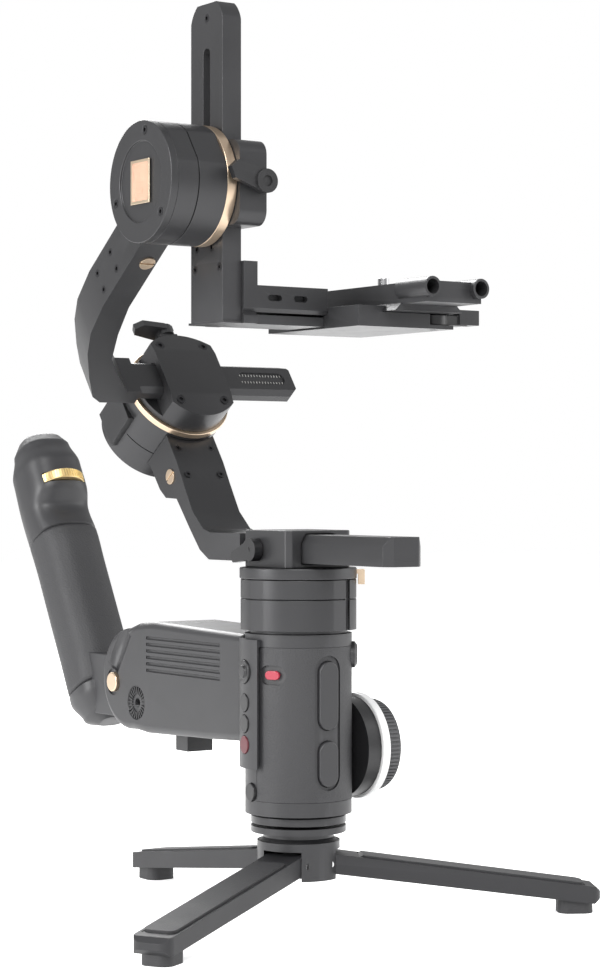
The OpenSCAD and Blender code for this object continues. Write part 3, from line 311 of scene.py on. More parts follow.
def shade(obj: bpy.types.Object, angle: float = 34.0) -> None:
    """Shades an object smooth, with creases where faces meet past an angle in degrees.

    Args:
        obj: a mesh object.
        angle: the angle in degrees.
    """
    obj.data.shade_smooth()
    obj.data.set_sharp_from_angle(angle=math.radians(angle))


def even(obj: bpy.types.Object, angle: float = 34.0) -> bpy.types.Object:
    """Shades an object smooth with its normals led by its larger faces.

    Args:
        obj: a plain mesh object.
        angle: the angle in degrees past which an edge stays sharp.

    Returns:
        The same object.
    """
    shade(obj, angle)
    weigh = obj.modifiers.new("even", "WEIGHTED_NORMAL")
    weigh.keep_sharp = True
    weigh.weight = 100
    return flatten(obj)


def settle(
    obj: bpy.types.Object, finish: Finish, body: str, slot: str, *nodes: str
) -> bpy.types.Object:
    """Gives a finished piece its material and its body, and hides the CAD nodes it stands for.

    Args:
        obj: the piece, in place.
        finish: its finish.
        body: the body it rides on.
        slot: the record's material slot; not used.
        nodes: CAD nodes that it replaces.

    Returns:
        The piece.
    """
    obj.data.materials.clear()
    obj.data.materials.append(finish.material())
    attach(obj, body)
    if nodes:
        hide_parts(*nodes)
    log.info("%s: %d faces on %s", obj.name, len(obj.data.polygons), body)
    return obj


def merged_copy(node: str, name: str) -> bpy.types.Object:
    """A copy of a CAD node's mesh with its doubles merged and its flat faces joined.

    Args:
        node: the CAD node.
        name: the copy's name.

    Returns:
        The copy as a new object.
    """
    mesh = frame["nodes"][node].data.copy()
    work = bmesh.new()
    work.from_mesh(mesh)
    bmesh.ops.remove_doubles(work, verts=work.verts, dist=0.004 * MM)
    bmesh.ops.dissolve_limit(
        work, angle_limit=math.radians(0.4), verts=work.verts, edges=work.edges
    )
    work.to_mesh(mesh)
    work.free()
    mesh.materials.clear()
    return link_mesh(name, mesh)


def rounded(obj: bpy.types.Object, width_mm: float, segments: int = 3) -> bpy.types.Object:
    """Rounds an object's edges with a live bevel, then applies it.

    Args:
        obj: the object.
        width_mm: width of the rounding.
        segments: faces across the rounding.

    Returns:
        The object as a plain mesh.
    """
    bevel = obj.modifiers.new("round", "BEVEL")
    bevel.width = width_mm * MM
    bevel.segments = segments
    bevel.limit_method = "ANGLE"
    bevel.angle_limit = math.radians(32)
    return even(flatten(obj))


def dress(node: str, finish: Finish | None = None, round_mm: float = 0.5) -> bpy.types.Object:
    """Replaces a CAD node by a rounded copy in its own finish.

    Args:
        node: the CAD node.
        finish: the finish, or None for its slot's own.
        round_mm: width of the rounded edges.

    Returns:
        The new piece.
    """
    slot = SLOT_OF[node]
    piece = rounded(merged_copy(node, f"{node}_finished"), round_mm)
    return settle(piece, finish or FINISH_OF_SLOT[slot], BODY_OF[node], slot, node)


def loft(name: str, rings: Sequence[Sequence[Vector]]) -> bpy.types.Object:
    """A closed skin through rings of points, each ring with the same number of them.

    Args:
        name: the new object's name.
        rings: rows of points, from one end to the other.

    Returns:
        The new object.
    """
    work = bmesh.new()
    rows = [[work.verts.new(p) for p in ring] for ring in rings]
    count = len(rows[0])
    for low, high in zip(rows, rows[1:]):
        for i in range(count):
            j = (i + 1) % count
            work.faces.new((low[i], low[j], high[j], high[i]))
    work.faces.new(list(reversed(rows[0])))
    work.faces.new(rows[-1])
    bmesh.ops.recalc_face_normals(work, faces=work.faces)
    mesh = bpy.data.meshes.new(name)
    work.to_mesh(mesh)
    work.free()
    return link_mesh(name, mesh)


def disc(name: str, radius: float, length: float, place: Matrix) -> bpy.types.Object:
    """A round bar about local Z, centred on its place. Sizes are in metres.

    Args:
        name: the new object's name.
        radius: its radius.
        length: its length.
        place: where its centre goes and the way it points.

    Returns:
        The new object.
    """
    work = bmesh.new()
    bmesh.ops.create_cone(
        work, cap_ends=True, segments=96, radius1=radius, radius2=radius, depth=length, matrix=place
    )
    mesh = bpy.data.meshes.new(name)
    work.to_mesh(mesh)
    work.free()
    return link_mesh(name, mesh)


def block(name: str, low: Vector, high: Vector) -> bpy.types.Object:
    """A box between two corners, in metres.

    Args:
        name: the new object's name.
        low: its lowest corner.
        high: its highest corner.

    Returns:
        The new object.
    """
    work = bmesh.new()
    size = high - low
    bmesh.ops.create_cube(
        work, matrix=Matrix.Translation((low + high) / 2) @ Matrix.Diagonal((*size, 1.0))
    )
    mesh = bpy.data.meshes.new(name)
    work.to_mesh(mesh)
    work.free()
    return link_mesh(name, mesh)


def carve(obj: bpy.types.Object, cutters: Sequence[bpy.types.Object]) -> bpy.types.Object:
    """Cuts the cutters out of an object and removes them.

    Args:
        obj: the object to cut.
        cutters: closed objects to take away from it.

    Returns:
        The object as a plain mesh.
    """
    for cutter in cutters:
        cut = obj.modifiers.new("cut", "BOOLEAN")
        cut.operation = "DIFFERENCE"
        cut.solver = "EXACT"
        cut.object = cutter
    flatten(obj)
    for cutter in cutters:
        bpy.data.objects.remove(cutter)
    return obj


def facing(axis: Vector, at: Vector) -> Matrix:
    """A place whose local Z is the axis, at a point.

    Args:
        axis: the direction of local Z.
        at: the point.

    Returns:
        The place as a matrix.
    """
    return Matrix.Translation(at) @ axis.to_track_quat("Z", "Y").to_matrix().to_4x4()


# ------------------------------------------------------------------ geometry nodes
class Pattern(Enum):
    """Repeated details that a node tree makes."""

    RING = "ring_of_bars"
    ROW = "row_of_bars"
    SCREWS = "socket_screws"


def _tree_base(pattern: Pattern, inputs: Sequence[tuple]) -> tuple:
    """A geometry tree with a Geometry input and output and the named inputs given.

    Args:
        pattern: what the tree makes, which also names it.
        inputs: (name, socket type, default) of each input; a default may be None.

    Returns:
        The tree, its input node and its output node.
    """
    tree = bpy.data.node_groups.new(pattern.value, "GeometryNodeTree")
    tree.interface.new_socket(name="Geometry", in_out="INPUT", socket_type="NodeSocketGeometry")
    for label, kind, default in inputs:
        made = tree.interface.new_socket(name=label, in_out="INPUT", socket_type=kind)
        if default is not None:
            made.default_value = default
    tree.interface.new_socket(name="Geometry", in_out="OUTPUT", socket_type="NodeSocketGeometry")
    return tree, tree.nodes.new("NodeGroupInput"), tree.nodes.new("NodeGroupOutput")


def _end_tree(
    tree: bpy.types.NodeTree, given: bpy.types.Node, put: bpy.types.Node,
    geometry: bpy.types.NodeSocket,
) -> None:
    """Ends a tree in Realize Instances and Set Material.

    Args:
        tree: the tree.
        given: its input node.
        put: its output node.
        geometry: the socket that carries the instances.
    """
    real = tree.nodes.new("GeometryNodeRealizeInstances")
    paint = tree.nodes.new("GeometryNodeSetMaterial")
    tree.links.new(geometry, real.inputs["Geometry"])
    tree.links.new(real.outputs["Geometry"], paint.inputs["Geometry"])
    tree.links.new(given.outputs["Material"], paint.inputs["Material"])
    tree.links.new(paint.outputs["Geometry"], put.inputs["Geometry"])


def bars_tree(pattern: Pattern) -> bpy.types.NodeTree:
    """Bars set round a ring or along a row.

    Args:
        pattern: RING or ROW.

    Returns:
        The tree, with Count, Reach, Bar Size and Material as inputs. Reach is the ring's
        radius, or the step between the bars of a row along X.
    """
    if pattern.value in bpy.data.node_groups:
        return bpy.data.node_groups[pattern.value]
    tree, given, put = _tree_base(pattern, [
        ("Count", "NodeSocketInt", 12), ("Reach", "NodeSocketFloat", 0.01),
        ("Bar Size", "NodeSocketVector", (0.001, 0.001, 0.001)),
        ("Material", "NodeSocketMaterial", None),
    ])
    link = tree.links.new
    bar = tree.nodes.new("GeometryNodeMeshCube")
    link(given.outputs["Bar Size"], bar.inputs["Size"])
    spots = tree.nodes.new("GeometryNodeInstanceOnPoints")
    link(bar.outputs["Mesh"], spots.inputs["Instance"])
    if pattern is Pattern.RING:
        ring = tree.nodes.new("GeometryNodeMeshCircle")
        link(given.outputs["Count"], ring.inputs["Vertices"])
        link(given.outputs["Reach"], ring.inputs["Radius"])
        link(ring.outputs["Mesh"], spots.inputs["Points"])
        outward = tree.nodes.new("FunctionNodeAlignEulerToVector")
        outward.axis = "X"
        link(tree.nodes.new("GeometryNodeInputPosition").outputs[0], outward.inputs["Vector"])
        link(outward.outputs["Rotation"], spots.inputs["Rotation"])
    else:
        line = tree.nodes.new("GeometryNodeMeshLine")
        step = tree.nodes.new("ShaderNodeCombineXYZ")
        link(given.outputs["Reach"], step.inputs["X"])
        link(given.outputs["Count"], line.inputs["Count"])
        link(step.outputs["Vector"], line.inputs["Offset"])
        link(line.outputs["Mesh"], spots.inputs["Points"])
    _end_tree(tree, given, put, spots.outputs["Instances"])
    return tree


def screws_tree() -> bpy.types.NodeTree:
    """Socket-head screws on the points of the mesh it is given.

    Returns:
        The tree, with Head Radius, Head Height, Axis and Material as inputs.
    """
    name = Pattern.SCREWS.value
    if name in bpy.data.node_groups:
        return bpy.data.node_groups[name]
    tree, given, put = _tree_base(Pattern.SCREWS, [
        ("Head Radius", "NodeSocketFloat", 0.0024), ("Head Height", "NodeSocketFloat", 0.0016),
        ("Axis", "NodeSocketVector", (0.0, 0.0, 1.0)), ("Material", "NodeSocketMaterial", None),
    ])
    link = tree.links.new

    def scaled(source: str, factor: float) -> bpy.types.NodeSocket:
        """One of the tree's inputs times a number.

        Args:
            source: the input's name.
            factor: the number.

        Returns:
            The product as a socket.
        """
        times = tree.nodes.new("ShaderNodeMath")
        times.operation = "MULTIPLY"
        times.inputs[1].default_value = factor
        link(given.outputs[source], times.inputs[0])
        return times.outputs[0]

    def drum(
        sides: int, radius: bpy.types.NodeSocket, depth: bpy.types.NodeSocket,
        drop: bpy.types.NodeSocket,
    ) -> bpy.types.NodeSocket:
        """A prism about Z, moved along Z.

        Args:
            sides: how many sides it has.
            radius: its radius.
            depth: its height.
            drop: how far it is moved.

        Returns:
            Its geometry as a socket.
        """
        made = tree.nodes.new("GeometryNodeMeshCylinder")
        made.inputs["Vertices"].default_value = sides
        link(radius, made.inputs["Radius"])
        link(depth, made.inputs["Depth"])
        move = tree.nodes.new("GeometryNodeTransform")
        shift = tree.nodes.new("ShaderNodeCombineXYZ")
        link(drop, shift.inputs["Z"])
        link(made.outputs["Mesh"], move.inputs["Geometry"])
        link(shift.outputs["Vector"], move.inputs["Translation"])
        return move.outputs["Geometry"]

    head = drum(40, given.outputs["Head Radius"], scaled("Head Height", 1.0),
                scaled("Head Height", -0.5))
    socket = drum(6, scaled("Head Radius", 0.5), scaled("Head Height", 1.2),
                  scaled("Head Height", 0.0))
    cut = tree.nodes.new("GeometryNodeMeshBoolean")
    cut.operation = "DIFFERENCE"
    link(head, cut.inputs["Mesh 1"])
    link(socket, cut.inputs["Mesh 2"])
    spots = tree.nodes.new("GeometryNodeInstanceOnPoints")
    turn = tree.nodes.new("FunctionNodeAlignEulerToVector")
    turn.axis = "Z"
    link(given.outputs["Axis"], turn.inputs["Vector"])
    link(given.outputs["Geometry"], spots.inputs["Points"])
    link(cut.outputs["Mesh"], spots.inputs["Instance"])
    link(turn.outputs["Rotation"], spots.inputs["Rotation"])
    _end_tree(tree, given, put, spots.outputs["Instances"])
    return tree


def grown(
    name: str, tree: bpy.types.NodeTree, values: dict[str, object], place: Matrix,
    points: Sequence[Vector] = (),
) -> bpy.types.Object:
    """Runs a geometry tree and leaves its result as a plain mesh.

    Args:
        name: the new object's name.
        tree: the tree to run.
        values: the named inputs' values.
        place: where the result goes.
        points: points of the mesh that the tree is given.

    Returns:
        The new object.
    """
    seed = bpy.data.meshes.new(f"{name}_points")
    seed.from_pydata([tuple(p) for p in points], [], [])
    obj = link_mesh(name, seed)
    run = obj.modifiers.new("pattern", "NODES")
    run.node_group = tree
    known = {s.name: s.identifier for s in tree.interface.items_tree if s.in_out == "INPUT"}
    for label, value in values.items():
        run[known[label]] = value
    obj.update_tag()
    flatten(obj)
    obj.data.transform(place)
    shade(obj, 30)
    return obj


def islands(node: str) -> list[list[Vector]]:
    """The points of each separate solid of a CAD node.

    Args:
        node: the CAD node.

    Returns:
        One list of points for each solid.
    """
    work = bmesh.new()
    work.from_mesh(frame["nodes"][node].data)
    bmesh.ops.remove_doubles(work, verts=work.verts, dist=0.004 * MM)
    left, found = set(work.verts), []
    while left:
        stack, group = [left.pop()], []
        while stack:
            vert = stack.pop()
            group.append(vert.co.copy())
            for edge in vert.link_edges:
                other = edge.other_vert(vert)
                if other in left:
                    left.remove(other)
                    stack.append(other)
        found.append(group)
    work.free()
    return found


def screw_heads(node: str, axis: Vector, head_mm: float) -> bpy.types.Object:
    """Socket-head screws where a CAD node has its plain ones.

    Args:
        node: the CAD node that holds the screws.
        axis: the way their heads face.
        head_mm: radius of a head.

    Returns:
        The screws as one piece.
    """
    tops = []
    for group in islands(node):
        centre = sum(group, Vector()) / len(group)
        top = max(p.dot(axis) for p in group)
        tops.append(centre + axis * (top - centre.dot(axis)))
    values = {"Head Radius": head_mm * MM, "Head Height": 1.6 * MM, "Axis": axis,
              "Material": BLACK_STEEL.material()}
    piece = grown(f"{node}_finished", screws_tree(), values, Matrix.Identity(4), tops)
    return settle(piece, BLACK_STEEL, BODY_OF[node], SLOT_OF[node], node)


# ------------------------------------------------------------------ sub-assemblies
@dataclass
class Tripod:
    """Hub, three legs and their rubber."""

    round_mm: float = 1.0
    pad_round_mm: float = 0.6

    def build(self) -> None:
        """Dresses the hub, the legs and the pads."""
        dress("tripod_hub", round_mm=0.8)
        dress("base_collar", round_mm=0.6)
        for side in ("left", "right", "rear"):
            dress(f"leg_beam_{side}", LEG, self.round_mm)
            dress(f"leg_rubber_{side}", PAD, self.pad_round_mm)


@dataclass
class Grip:
    """The upright grip with its controls and focus wheel."""

    ribs: int = 72
    wheel_inset_mm: float = 2.4
    buttons: tuple[str, ...] = ("side_button_top", "side_button_middle", "side_button_low",
                                "thumb_button")
    keys: tuple[str, ...] = ("zoom_rocker", "function_button")

    def build(self) -> None:
        """Dresses the casing, the rubber and every control."""
        for side in ("left", "right"):
            dress(f"grip_shell_{side}", round_mm=0.35)
        dress("grip_rubber", RUBBER, 0.25)
        for node in self.keys:
            dress(node, round_mm=0.9)
        for node in self.buttons:
            dress(node, DULL_RED if node == "side_button_low" else DARK, 0.5)
        dress("joystick", DARK, 0.6)
        dress("mode_switch", RED, 0.5)
        self.wheel()

    def wheel(self) -> None:
        """The focus wheel: white ring, ribbed grey knob and dark hollow face."""
        low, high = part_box("focus_wheel")
        centre = (low + high) / 2
        radius = (high.y - low.y) / 2
        ring_at, knob_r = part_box("wheel_base")[1].x + 0.3 * MM, radius - 4.6 * MM
        ring_w = 5 * MM
        turn = Vector((1.0, 0.0, 0.0))

        def bar(name: str, r: float, start: float, end: float) -> bpy.types.Object:
            """A round bar about the wheel's axis.

            Args:
                name: the new object's name.
                r: its radius in metres.
                start: where it starts along X.
                end: where it ends along X.

            Returns:
                The new object.
            """
            return disc(name, r, end - start,
                        facing(turn, Vector(((start + end) / 2, centre.y, centre.z))))

        ring = rounded(bar("wheel_ring", radius, ring_at, ring_at + ring_w), 0.8)
        settle(ring, WHITE, "focus_wheel", "white", "focus_wheel")
        knob = bar("wheel_knob", knob_r, ring_at + ring_w - 0.2 * MM, high.x)
        hollow = bar("cut", knob_r - self.wheel_inset_mm * MM, high.x - 2.5 * MM, high.x + MM)
        settle(rounded(carve(knob, [hollow]), 0.5), WHEEL_GREY, "focus_wheel", "white")
        face = bar("wheel_face", knob_r - 2.6 * MM, high.x - 2.6 * MM, high.x - 1.6 * MM)
        settle(rounded(face, 0.3), DARK, "focus_wheel", "dark")
        ribs = grown(
            "wheel_ribs", bars_tree(Pattern.RING),
            {"Count": self.ribs, "Reach": knob_r + 0.1 * MM,
             "Bar Size": Vector((0.9, 1.1, 8.0)) * MM, "Material": WHEEL_GREY.material()},
            facing(turn, Vector((ring_at + ring_w + 5 * MM, centre.y, centre.z))),
        )
        settle(ribs, WHEEL_GREY, "focus_wheel", "white")
        dress("wheel_base", DARK, 0.6)


@dataclass
class Axes:
    """The yaw, roll and tilt motors, their clamps, knobs and arms."""

    large: tuple[str, ...] = ("yaw_motor_housing", "yaw_rotor", "roll_motor_housing",
                              "tilt_motor_housing", "yaw_clamp", "roll_clamp", "tilt_clamp",
                              "roll_clamp_cover")
    rings: tuple[str, ...] = ("roll_ring", "tilt_ring")
    knobs: tuple[str, ...] = ("roll_lock_knob", "tilt_lock_knob", "yaw_lock_latch")
    levers: tuple[str, ...] = ("yaw_clamp_lever", "roll_lever", "tilt_lever")
    ticks: int = 15

    def build(self) -> None:
        """Dresses every piece from the yaw motor to the tilt clamp."""
        for node in self.large:
            dress(node, round_mm=0.7)
        for node in ("yaw_arm", "roll_arm"):
            dress(node, round_mm=1.3)
        for node in self.rings + self.knobs:
            dress(node, round_mm=0.4)
        for node in self.levers:
            dress(node, round_mm=0.9)
        screw_heads("yaw_arm_screws", ROLL_AXIS, 2.1)
        screw_heads("roll_clamp_screws", ROLL_AXIS, 2.9)
        screw_heads("roll_arm_screws", Vector((-1.0, 0.0, 0.0)), 2.4)
        self.cap()
        self.scale()

    def cap(self) -> None:
        """The tilt motor's end cap and its blank badge."""
        dress("tilt_cap", round_mm=0.6)
        low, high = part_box("tilt_cap")
        middle = (low + high) / 2
        half = Vector((0.0, 8.6, 10.6)) * MM
        face = low.x + 0.2 * MM
        frame_half = half + Vector((0.0, 1.3, 1.3)) * MM
        rim = block("badge_rim", Vector((face - 0.4 * MM, *(middle - frame_half).yz)),
                    Vector((face + 0.3 * MM, *(middle + frame_half).yz)))
        settle(rounded(rim, 0.25), GOLD, "roll_arm", "champagne")
        plate = block("blank_badge", Vector((face - 0.4 * MM, middle.y - half.y, middle.z - half.z)),
                      Vector((face + 0.6 * MM, middle.y + half.y, middle.z + half.z)))
        settle(rounded(plate, 0.35), BADGE, "roll_arm", "champagne")

    def scale(self) -> None:
        """Engraved tick marks in the roll rail's recess."""
        step = 2.1 * MM
        centre = Vector((0.0, -13.0, 384.9)) * MM
        rail_back = (163.3 + 0.9) * MM
        for name, rise in (("upper", 2.6), ("lower", -2.6)):
            start = centre - ROLL_AXIS * rail_back + ROLL_UP * rise * MM + Vector((37.5 * MM, 0, 0))
            basis = Matrix((Vector((1, 0, 0)), ROLL_UP, ROLL_AXIS)).transposed().to_4x4()
            marks = grown(
                f"rail_ticks_{name}", bars_tree(Pattern.ROW),
                {"Count": self.ticks, "Reach": step, "Bar Size": Vector((0.25, 1.5, 0.16)) * MM,
                 "Material": MARK.material()},
                Matrix.Translation(start) @ basis,
            )
            settle(marks, MARK, "roll_arm", "champagne")


@dataclass
class CameraMount:
    """Post, camera arm, quick-release base and plate."""

    nodes: tuple[str, ...] = ("camera_post", "camera_arm", "quick_release_base",
                              "quick_release_plate")

    def build(self) -> None:
        """Dresses the post, the arm and the plate."""
        for node in self.nodes:
            dress(node, round_mm=0.7)
        dress("quick_release_lever", round_mm=0.7)
        dress("camera_screw", round_mm=0.3)
        screw_heads("post_screws", Vector((-1.0, 0.0, 0.0)), 2.4)


@dataclass
class Connector:
    """The connector between the grip and the sling handle."""

    teeth: int = 24
    ribs: int = 6
    low: float = 70.7
    half: float = 25.0
    fold: tuple[float, float, float] = (152.0, 103.0, 31.0)

    def outline(self) -> list[tuple[float, float]]:
        """The side outline from the grip round the knuckle, in millimetres."""
        low = self.low
        y, z, r = self.fold
        under = [(20, low + 5), (60, low + 3), (y - 22, low + 0.6), (y - 8, z - r + 0.4)]
        arc = [(y + r * math.cos(a), z + r * math.sin(a))
               for a in (math.radians(d) for d in range(-90, 91, 5))]
        over = [(140, low + 67), (122, low + 68.6), (95, low + 68), (20, low + 66)]
        return under + arc + over

    def body(self) -> None:
        """The rounded casing with its rib panel, scoop, sockets and slot."""
        work = bmesh.new()
        verts = [work.verts.new(Vector((-self.half, y, z)) * MM) for y, z in self.outline()]
        face = work.faces.new(verts)
        out = bmesh.ops.extrude_face_region(work, geom=[face])
        moved = [v for v in out["geom"] if isinstance(v, bmesh.types.BMVert)]
        bmesh.ops.translate(work, verts=moved, vec=Vector((2 * self.half, 0, 0)) * MM)
        bmesh.ops.recalc_face_normals(work, faces=work.faces)
        mesh = bpy.data.meshes.new("connector_finished")
        work.to_mesh(mesh)
        work.free()
        piece = rounded(link_mesh("connector_finished", mesh), 4.5, 6)
        across = Vector((1.0, 0.0, 0.0))
        y, z, _ = self.fold
        cuts = [disc("cut", 30.4 * MM, 0.3, Matrix.Translation((0, 0, 0.1)))]
        cuts.append(disc("cut", 10.2 * MM, 14.6 * MM, facing(across, Vector((0, y, z)) * MM)))
        for drop in (-1, 22, 45, 67):
            swept = block("cut", Vector((-7.3, 0, -9.6)) * MM, Vector((7.3, 60, 9.6)) * MM)
            swept.data.transform(Matrix.Translation(Vector((0, y, z)) * MM)
                                 @ Matrix.Rotation(math.radians(-drop), 4, "X"))
            cuts.append(swept)
        for side in (-1.0, 1.0):
            wall = side * self.half
            cuts += [self.groove(wall, 39.1 + 3.9 * i) for i in range(self.ribs)]
            cuts.append(disc("cut", 10.4 * MM, 2.2 * MM,
                             facing(across, Vector((wall, 140, self.low + 18.4)) * MM)))
            cuts.append(disc("cut", 3.0 * MM, 16 * MM,
                             facing(across, Vector((wall, 140, self.low + 18.4)) * MM)))
            sweep = Vector((0.0, math.cos(math.radians(125)), math.sin(math.radians(125))))
            cuts.append(disc("cut", 8.5 * MM, 30 * MM, facing(
                sweep, Vector((wall + side * 5.5, 160, self.low + 50)) * MM)))
        cuts.append(disc("cut", 8.2 * MM, 2.0 * MM, facing(
            across, Vector((-self.half, 168, self.low + 29.4)) * MM)))
        cuts.append(disc("cut", 6.1 * MM, 12 * MM, facing(
            across, Vector((-self.half, 168, self.low + 29.4)) * MM)))
        even(carve(piece, cuts))
        settle(piece, SHELL, "grip", SLOT_OF["connector_body"], "connector_body")

    def groove(self, wall: float, rise: float) -> bpy.types.Object:
        """One long groove's cutter, in the side wall at a height over the underside.

        Args:
            wall: X of the side wall in millimetres.
            rise: height of the groove in millimetres.

        Returns:
            The cutter.
        """
        return rounded(block("cut", Vector((wall - 1.2, 44, self.low + rise - 1.0)) * MM,
                             Vector((wall + 1.2, 128, self.low + rise + 1.0)) * MM), 0.7)

    def build(self) -> None:
        """Dresses the connector, its button, its latch and its toothed rings."""
        self.body()
        dress("release_button", round_mm=0.8)
        dress("latch_plate", round_mm=0.6)
        for name, side in (("left", -1.0), ("right", 1.0)):
            teeth = grown(
                f"rosette_teeth_{name}", bars_tree(Pattern.RING),
                {"Count": self.teeth, "Reach": 7.6 * MM, "Bar Size": Vector((4.2, 0.9, 0.9)) * MM,
                 "Material": DARK.material()},
                facing(Vector((side, 0, 0)), Vector((side * 24.2, 140.0, 89.1)) * MM),
            )
            settle(teeth, DARK, "grip", "dark")


@dataclass
class SlingHandle:
    """The rear handle: a smooth shell, a rubber sleeve, a knurled dial and a button."""

    around: int = 72
    along: int = 150
    squareness: float = 2.7
    sleeve_low: float = -143.0
    sleeve_top: float = -34.0
    knurls: int = 60
    # distance up the handle from the dial, offset behind it, half depth, half width
    stations: tuple[tuple[float, float, float, float], ...] = (
        (-168.0, 9.5, 7.0, 9.0), (-163.0, 11.5, 14.5, 15.5), (-148.0, 12.3, 20.0, 20.0),
        (-114.0, 10.4, 21.2, 20.4), (-60.0, 10.6, 21.2, 20.4), (-10.7, 10.5, 23.6, 21.2),
        (14.0, 10.4, 23.0, 20.8), (30.0, 9.9, 18.0, 17.5), (38.0, 9.3, 12.0, 13.0),
        (41.5, 9.0, 5.0, 6.5),
    )
    dial: Vector = field(default_factory=Vector)

    def frame_at(self, up: float, back: float, side: float) -> Vector:
        """A point from millimetres up the handle, behind its dial and to the side.

        Args:
            up: distance up the handle.
            back: distance behind its axis.
            side: distance to the side.

        Returns:
            The point in metres.
        """
        lean = Vector((0.0, math.sin(HANDLE_LEAN), math.cos(HANDLE_LEAN)))
        rear = Vector((0.0, math.cos(HANDLE_LEAN), -math.sin(HANDLE_LEAN)))
        return self.dial + (lean * up + rear * back + Vector((side, 0.0, 0.0))) * MM

    def station(self, up: float) -> tuple[float, float, float]:
        """Offset, half depth and half width at a distance up the handle, eased between rows.

        Args:
            up: distance up the handle in millimetres.

        Returns:
            The three sizes in millimetres.
        """
        rows = self.stations
        for a, b in zip(rows, rows[1:]):
            if up <= b[0]:
                t = (up - a[0]) / (b[0] - a[0])
                ease = t * t * (3 - 2 * t) if abs(b[0] - a[0]) > 12 else t
                return tuple(p + (q - p) * ease for p, q in zip(a[1:], b[1:]))
        return rows[-1][1:]

    def ring(self, up: float, grow: float) -> list[Vector]:
        """One closed row of points round the handle.

        Args:
            up: distance up the handle from the dial, in millimetres.
            grow: how far the row stands outside the shell.

        Returns:
            The row's points.
        """
        back, depth, width = self.station(up)
        power = 2.0 / self.squareness
        points = []
        for i in range(self.around):
            angle = 2 * math.pi * i / self.around
            c, s = math.cos(angle), math.sin(angle)
            x = math.copysign(abs(c) ** power, c) * (depth + grow)
            y = math.copysign(abs(s) ** power, s) * (width + grow)
            # hollow for the forefinger under the dial, on the front and its two shoulders
            reach = 7.0 if up > -17.0 else 15.0
            near = math.exp(-((up + 17.0) / reach) ** 2) * max(0.0, -c) ** 1.2
            points.append(self.frame_at(up, back + x + 8.5 * near, y * (1 - 0.14 * near)))
        return points

    def rows(self, low: float, high: float, grow: Callable[[float], float]) -> list[list[Vector]]:
        """Rows of points from one height to another.

        Args:
            low: height of the first row in millimetres.
            high: height of the last row in millimetres.
            grow: how far a row at a given height stands outside the shell.

        Returns:
            The rows.
        """
        count = max(int(self.along * (high - low) / 210), 4)
        ups = [low + (high - low) * i / count for i in range(count + 1)]
        return [self.ring(up, grow(up)) for up in ups]

    def build(self) -> None:
        """Makes the shell, the sleeve, the hinge block, the dial and the button."""
        low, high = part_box("handle_dial")
        self.dial = (low + high) / 2
        lean = self.frame_at(1, 0, 0) - self.dial
        groove = 0.7

        def shell_grow(up: float) -> float:
            """Keeps the shell under the sleeve, with a step at each end."""
            return -1.8 if self.sleeve_low - groove < up < self.sleeve_top + groove else 0.0

        shell = loft("handle_body", self.rows(-168.0, 41.5, shell_grow))
        slot = disc("cut", 17.5 * MM, 7.3 * MM, facing(lean, self.dial))
        button = self.frame_at(40.0, 8.8, 0)
        pit = disc("cut", 9.4 * MM, 4.0 * MM, facing(lean, button))
        carve(shell, [slot, pit])
        shade(shell, 38)
        settle(shell, SHELL, "handle", "shell", "handle_shell")

        def sleeve_grow(up: float) -> float:
            """Rolls the sleeve's two ends over."""
            edge = min(up - self.sleeve_low, self.sleeve_top - up) / 1.6
            return -1.7 + 1.7 * math.sqrt(max(0.0, 1 - (1 - min(edge, 1.0)) ** 2))

        sleeve = loft("handle_sleeve", self.rows(self.sleeve_low, self.sleeve_top, sleeve_grow))
        shade(sleeve, 50)
        settle(sleeve, RUBBER, "handle", "rubber", "handle_grip")
        self.hinge()
        self.controls(lean)

    def hinge(self) -> None:
        """The block and the tongue that join the handle to the connector."""
        pivot = Vector((0.0, 152.0, 103.0)) * MM
        turn = Vector((1.0, 0.0, 0.0))
        base = block("handle_hinge_block", Vector((-14, 172, 77)) * MM, Vector((14, 232, 115)) * MM)
        carve(base, [disc("cut", 32 * MM, 60 * MM, facing(turn, pivot))])
        settle(rounded(base, 1.6), SHELL, "handle", "shell")
        tongue = block("handle_hinge_tongue", Vector((-6.9, 152, 94.2)) * MM,
                       Vector((6.9, 190, 111.8)) * MM)
        settle(rounded(tongue, 0.6), DARK, "handle", "dark")

    def controls(self, lean: Vector) -> None:
        """The knurled dial and the button on top."""
        dress("handle_dial", KNURL, 0.6)
        ridges = grown(
            "handle_dial_knurl", bars_tree(Pattern.RING),
            {"Count": self.knurls, "Reach": 16.9 * MM, "Bar Size": Vector((0.9, 0.8, 5.2)) * MM,
             "Material": KNURL.material()},
            facing(lean, self.dial),
        )
        settle(ridges, KNURL, "handle_dial", "champagne")
        dress("handle_button", DARK, 0.7)


@dataclass
class Internals:
    """Pieces inside the casings, seen only when it is taken apart."""

    nodes: tuple[str, ...] = ("battery_cells", "control_board", "leg_pins")

    def build(self) -> None:
        """Gives the hidden CAD pieces their finishes."""
        for node in self.nodes:
            obj = frame["nodes"][node]
            obj.data.materials.clear()
            obj.data.materials.append(FINISH_OF_SLOT[SLOT_OF[node]].material())
            log.info("%s: kept from the frame", node)


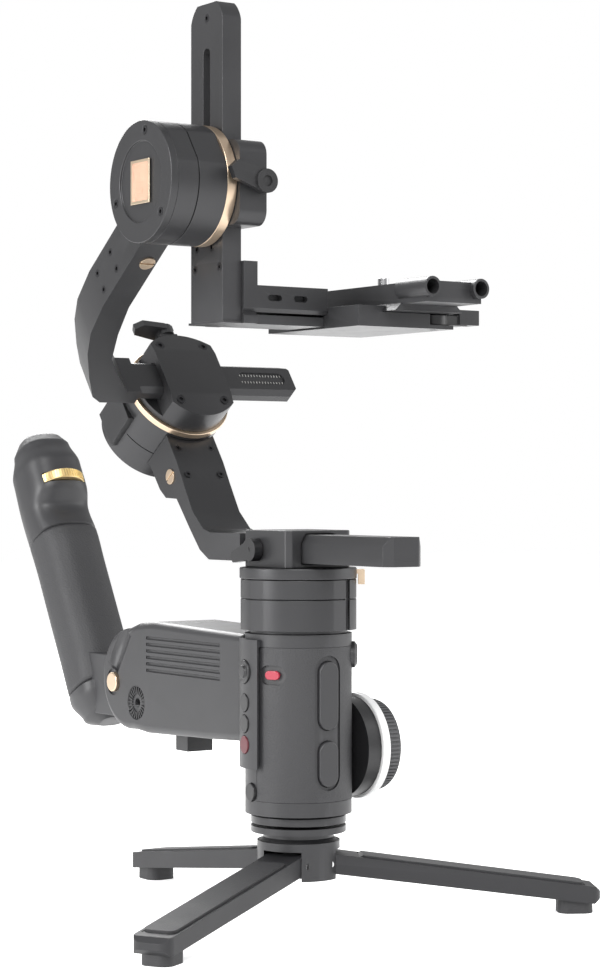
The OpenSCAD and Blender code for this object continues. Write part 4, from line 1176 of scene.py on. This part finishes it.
# ------------------------------------------------------------------ studio
@dataclass
class Studio:
    """Pale floor, soft lights and the camera."""

    floor_drop_mm: float = -22.0
    azimuth: float = -34.0
    distance: float = 1.390
    eye_height: float = 0.2215
    lens_mm: float = 90.8
    sensor_mm: float = 36.0

    def build(self) -> None:
        """Makes the floor, the world, the lights and the camera."""
        self.floor()
        self.world()
        self.area("key_light", (-0.9, -1.3, 1.5), 1.1, 40.0)
        self.area("fill_light", (1.6, -0.7, 0.8), 1.4, 16.0)
        self.area("left_strip", (-1.6, 0.3, 0.6), 0.7, 22.0)
        self.area("rim_light", (0.4, 1.7, 1.3), 1.0, 40.0)
        self.camera()

    def floor(self) -> None:
        """A wide pale floor under the feet."""
        top = self.floor_drop_mm * MM
        ground = block("floor", Vector((-6, -6, top - 0.01)), Vector((6, 6, top)))
        ground.data.materials.append(FLOOR.material())

    def world(self) -> None:
        """An even white surround."""
        world = bpy.data.worlds.new("white_surround")
        world.use_nodes = True
        nodes, link = world.node_tree.nodes, world.node_tree.links.new
        back = nodes["Background"]
        back.inputs["Color"].default_value = (1.0, 1.0, 1.0, 1.0)
        seen = nodes.new("ShaderNodeMapRange")
        seen.inputs["To Min"].default_value = 0.5
        seen.inputs["To Max"].default_value = 1.0
        link(nodes.new("ShaderNodeLightPath").outputs["Is Camera Ray"], seen.inputs["Value"])
        link(seen.outputs["Result"], back.inputs["Strength"])
        bpy.context.scene.world = world
        bpy.context.scene.view_settings.view_transform = "Standard"

    def area(self, name: str, at: tuple[float, float, float], size: float, power: float) -> None:
        """A square soft light that faces the gimbal's middle.

        Args:
            name: the light's name.
            at: where it stands, in metres.
            size: its side in metres.
            power: its power in watts.
        """
        lamp = bpy.data.lights.new(name, "AREA")
        lamp.size = size
        lamp.energy = power
        made = bpy.data.objects.new(name, lamp)
        made.location = at
        aim = Vector((0.0, 0.05, 0.22)) - Vector(at)
        made.rotation_euler = aim.to_track_quat("-Z", "Y").to_euler()
        bpy.context.scene.collection.objects.link(made)

    def camera(self) -> None:
        """A level camera in front and to the left."""
        turn = math.radians(self.azimuth)
        lens = bpy.data.cameras.new("camera")
        lens.lens = self.lens_mm
        lens.sensor_width = self.sensor_mm
        lens.clip_end = 30.0
        made = bpy.data.objects.new("camera", lens)
        made.location = (self.distance * math.sin(turn) + 0.0007,
                         -self.distance * math.cos(turn) - 0.0005, self.eye_height)
        made.rotation_euler = (math.pi / 2, 0.0, turn)
        bpy.context.scene.collection.objects.link(made)
        bpy.context.scene.camera = made


def main() -> None:
    """Builds the studio and every sub-assembly, in order."""
    logging.basicConfig(level=logging.INFO, format="%(name)s: %(message)s")
    for part in (Studio(), Tripod(), Grip(), Axes(), CameraMount(), Connector(), SlingHandle(),
                 Internals()):
        log.info("building %s", type(part).__name__)
        part.build()


if __name__ == "__main__":
    main()
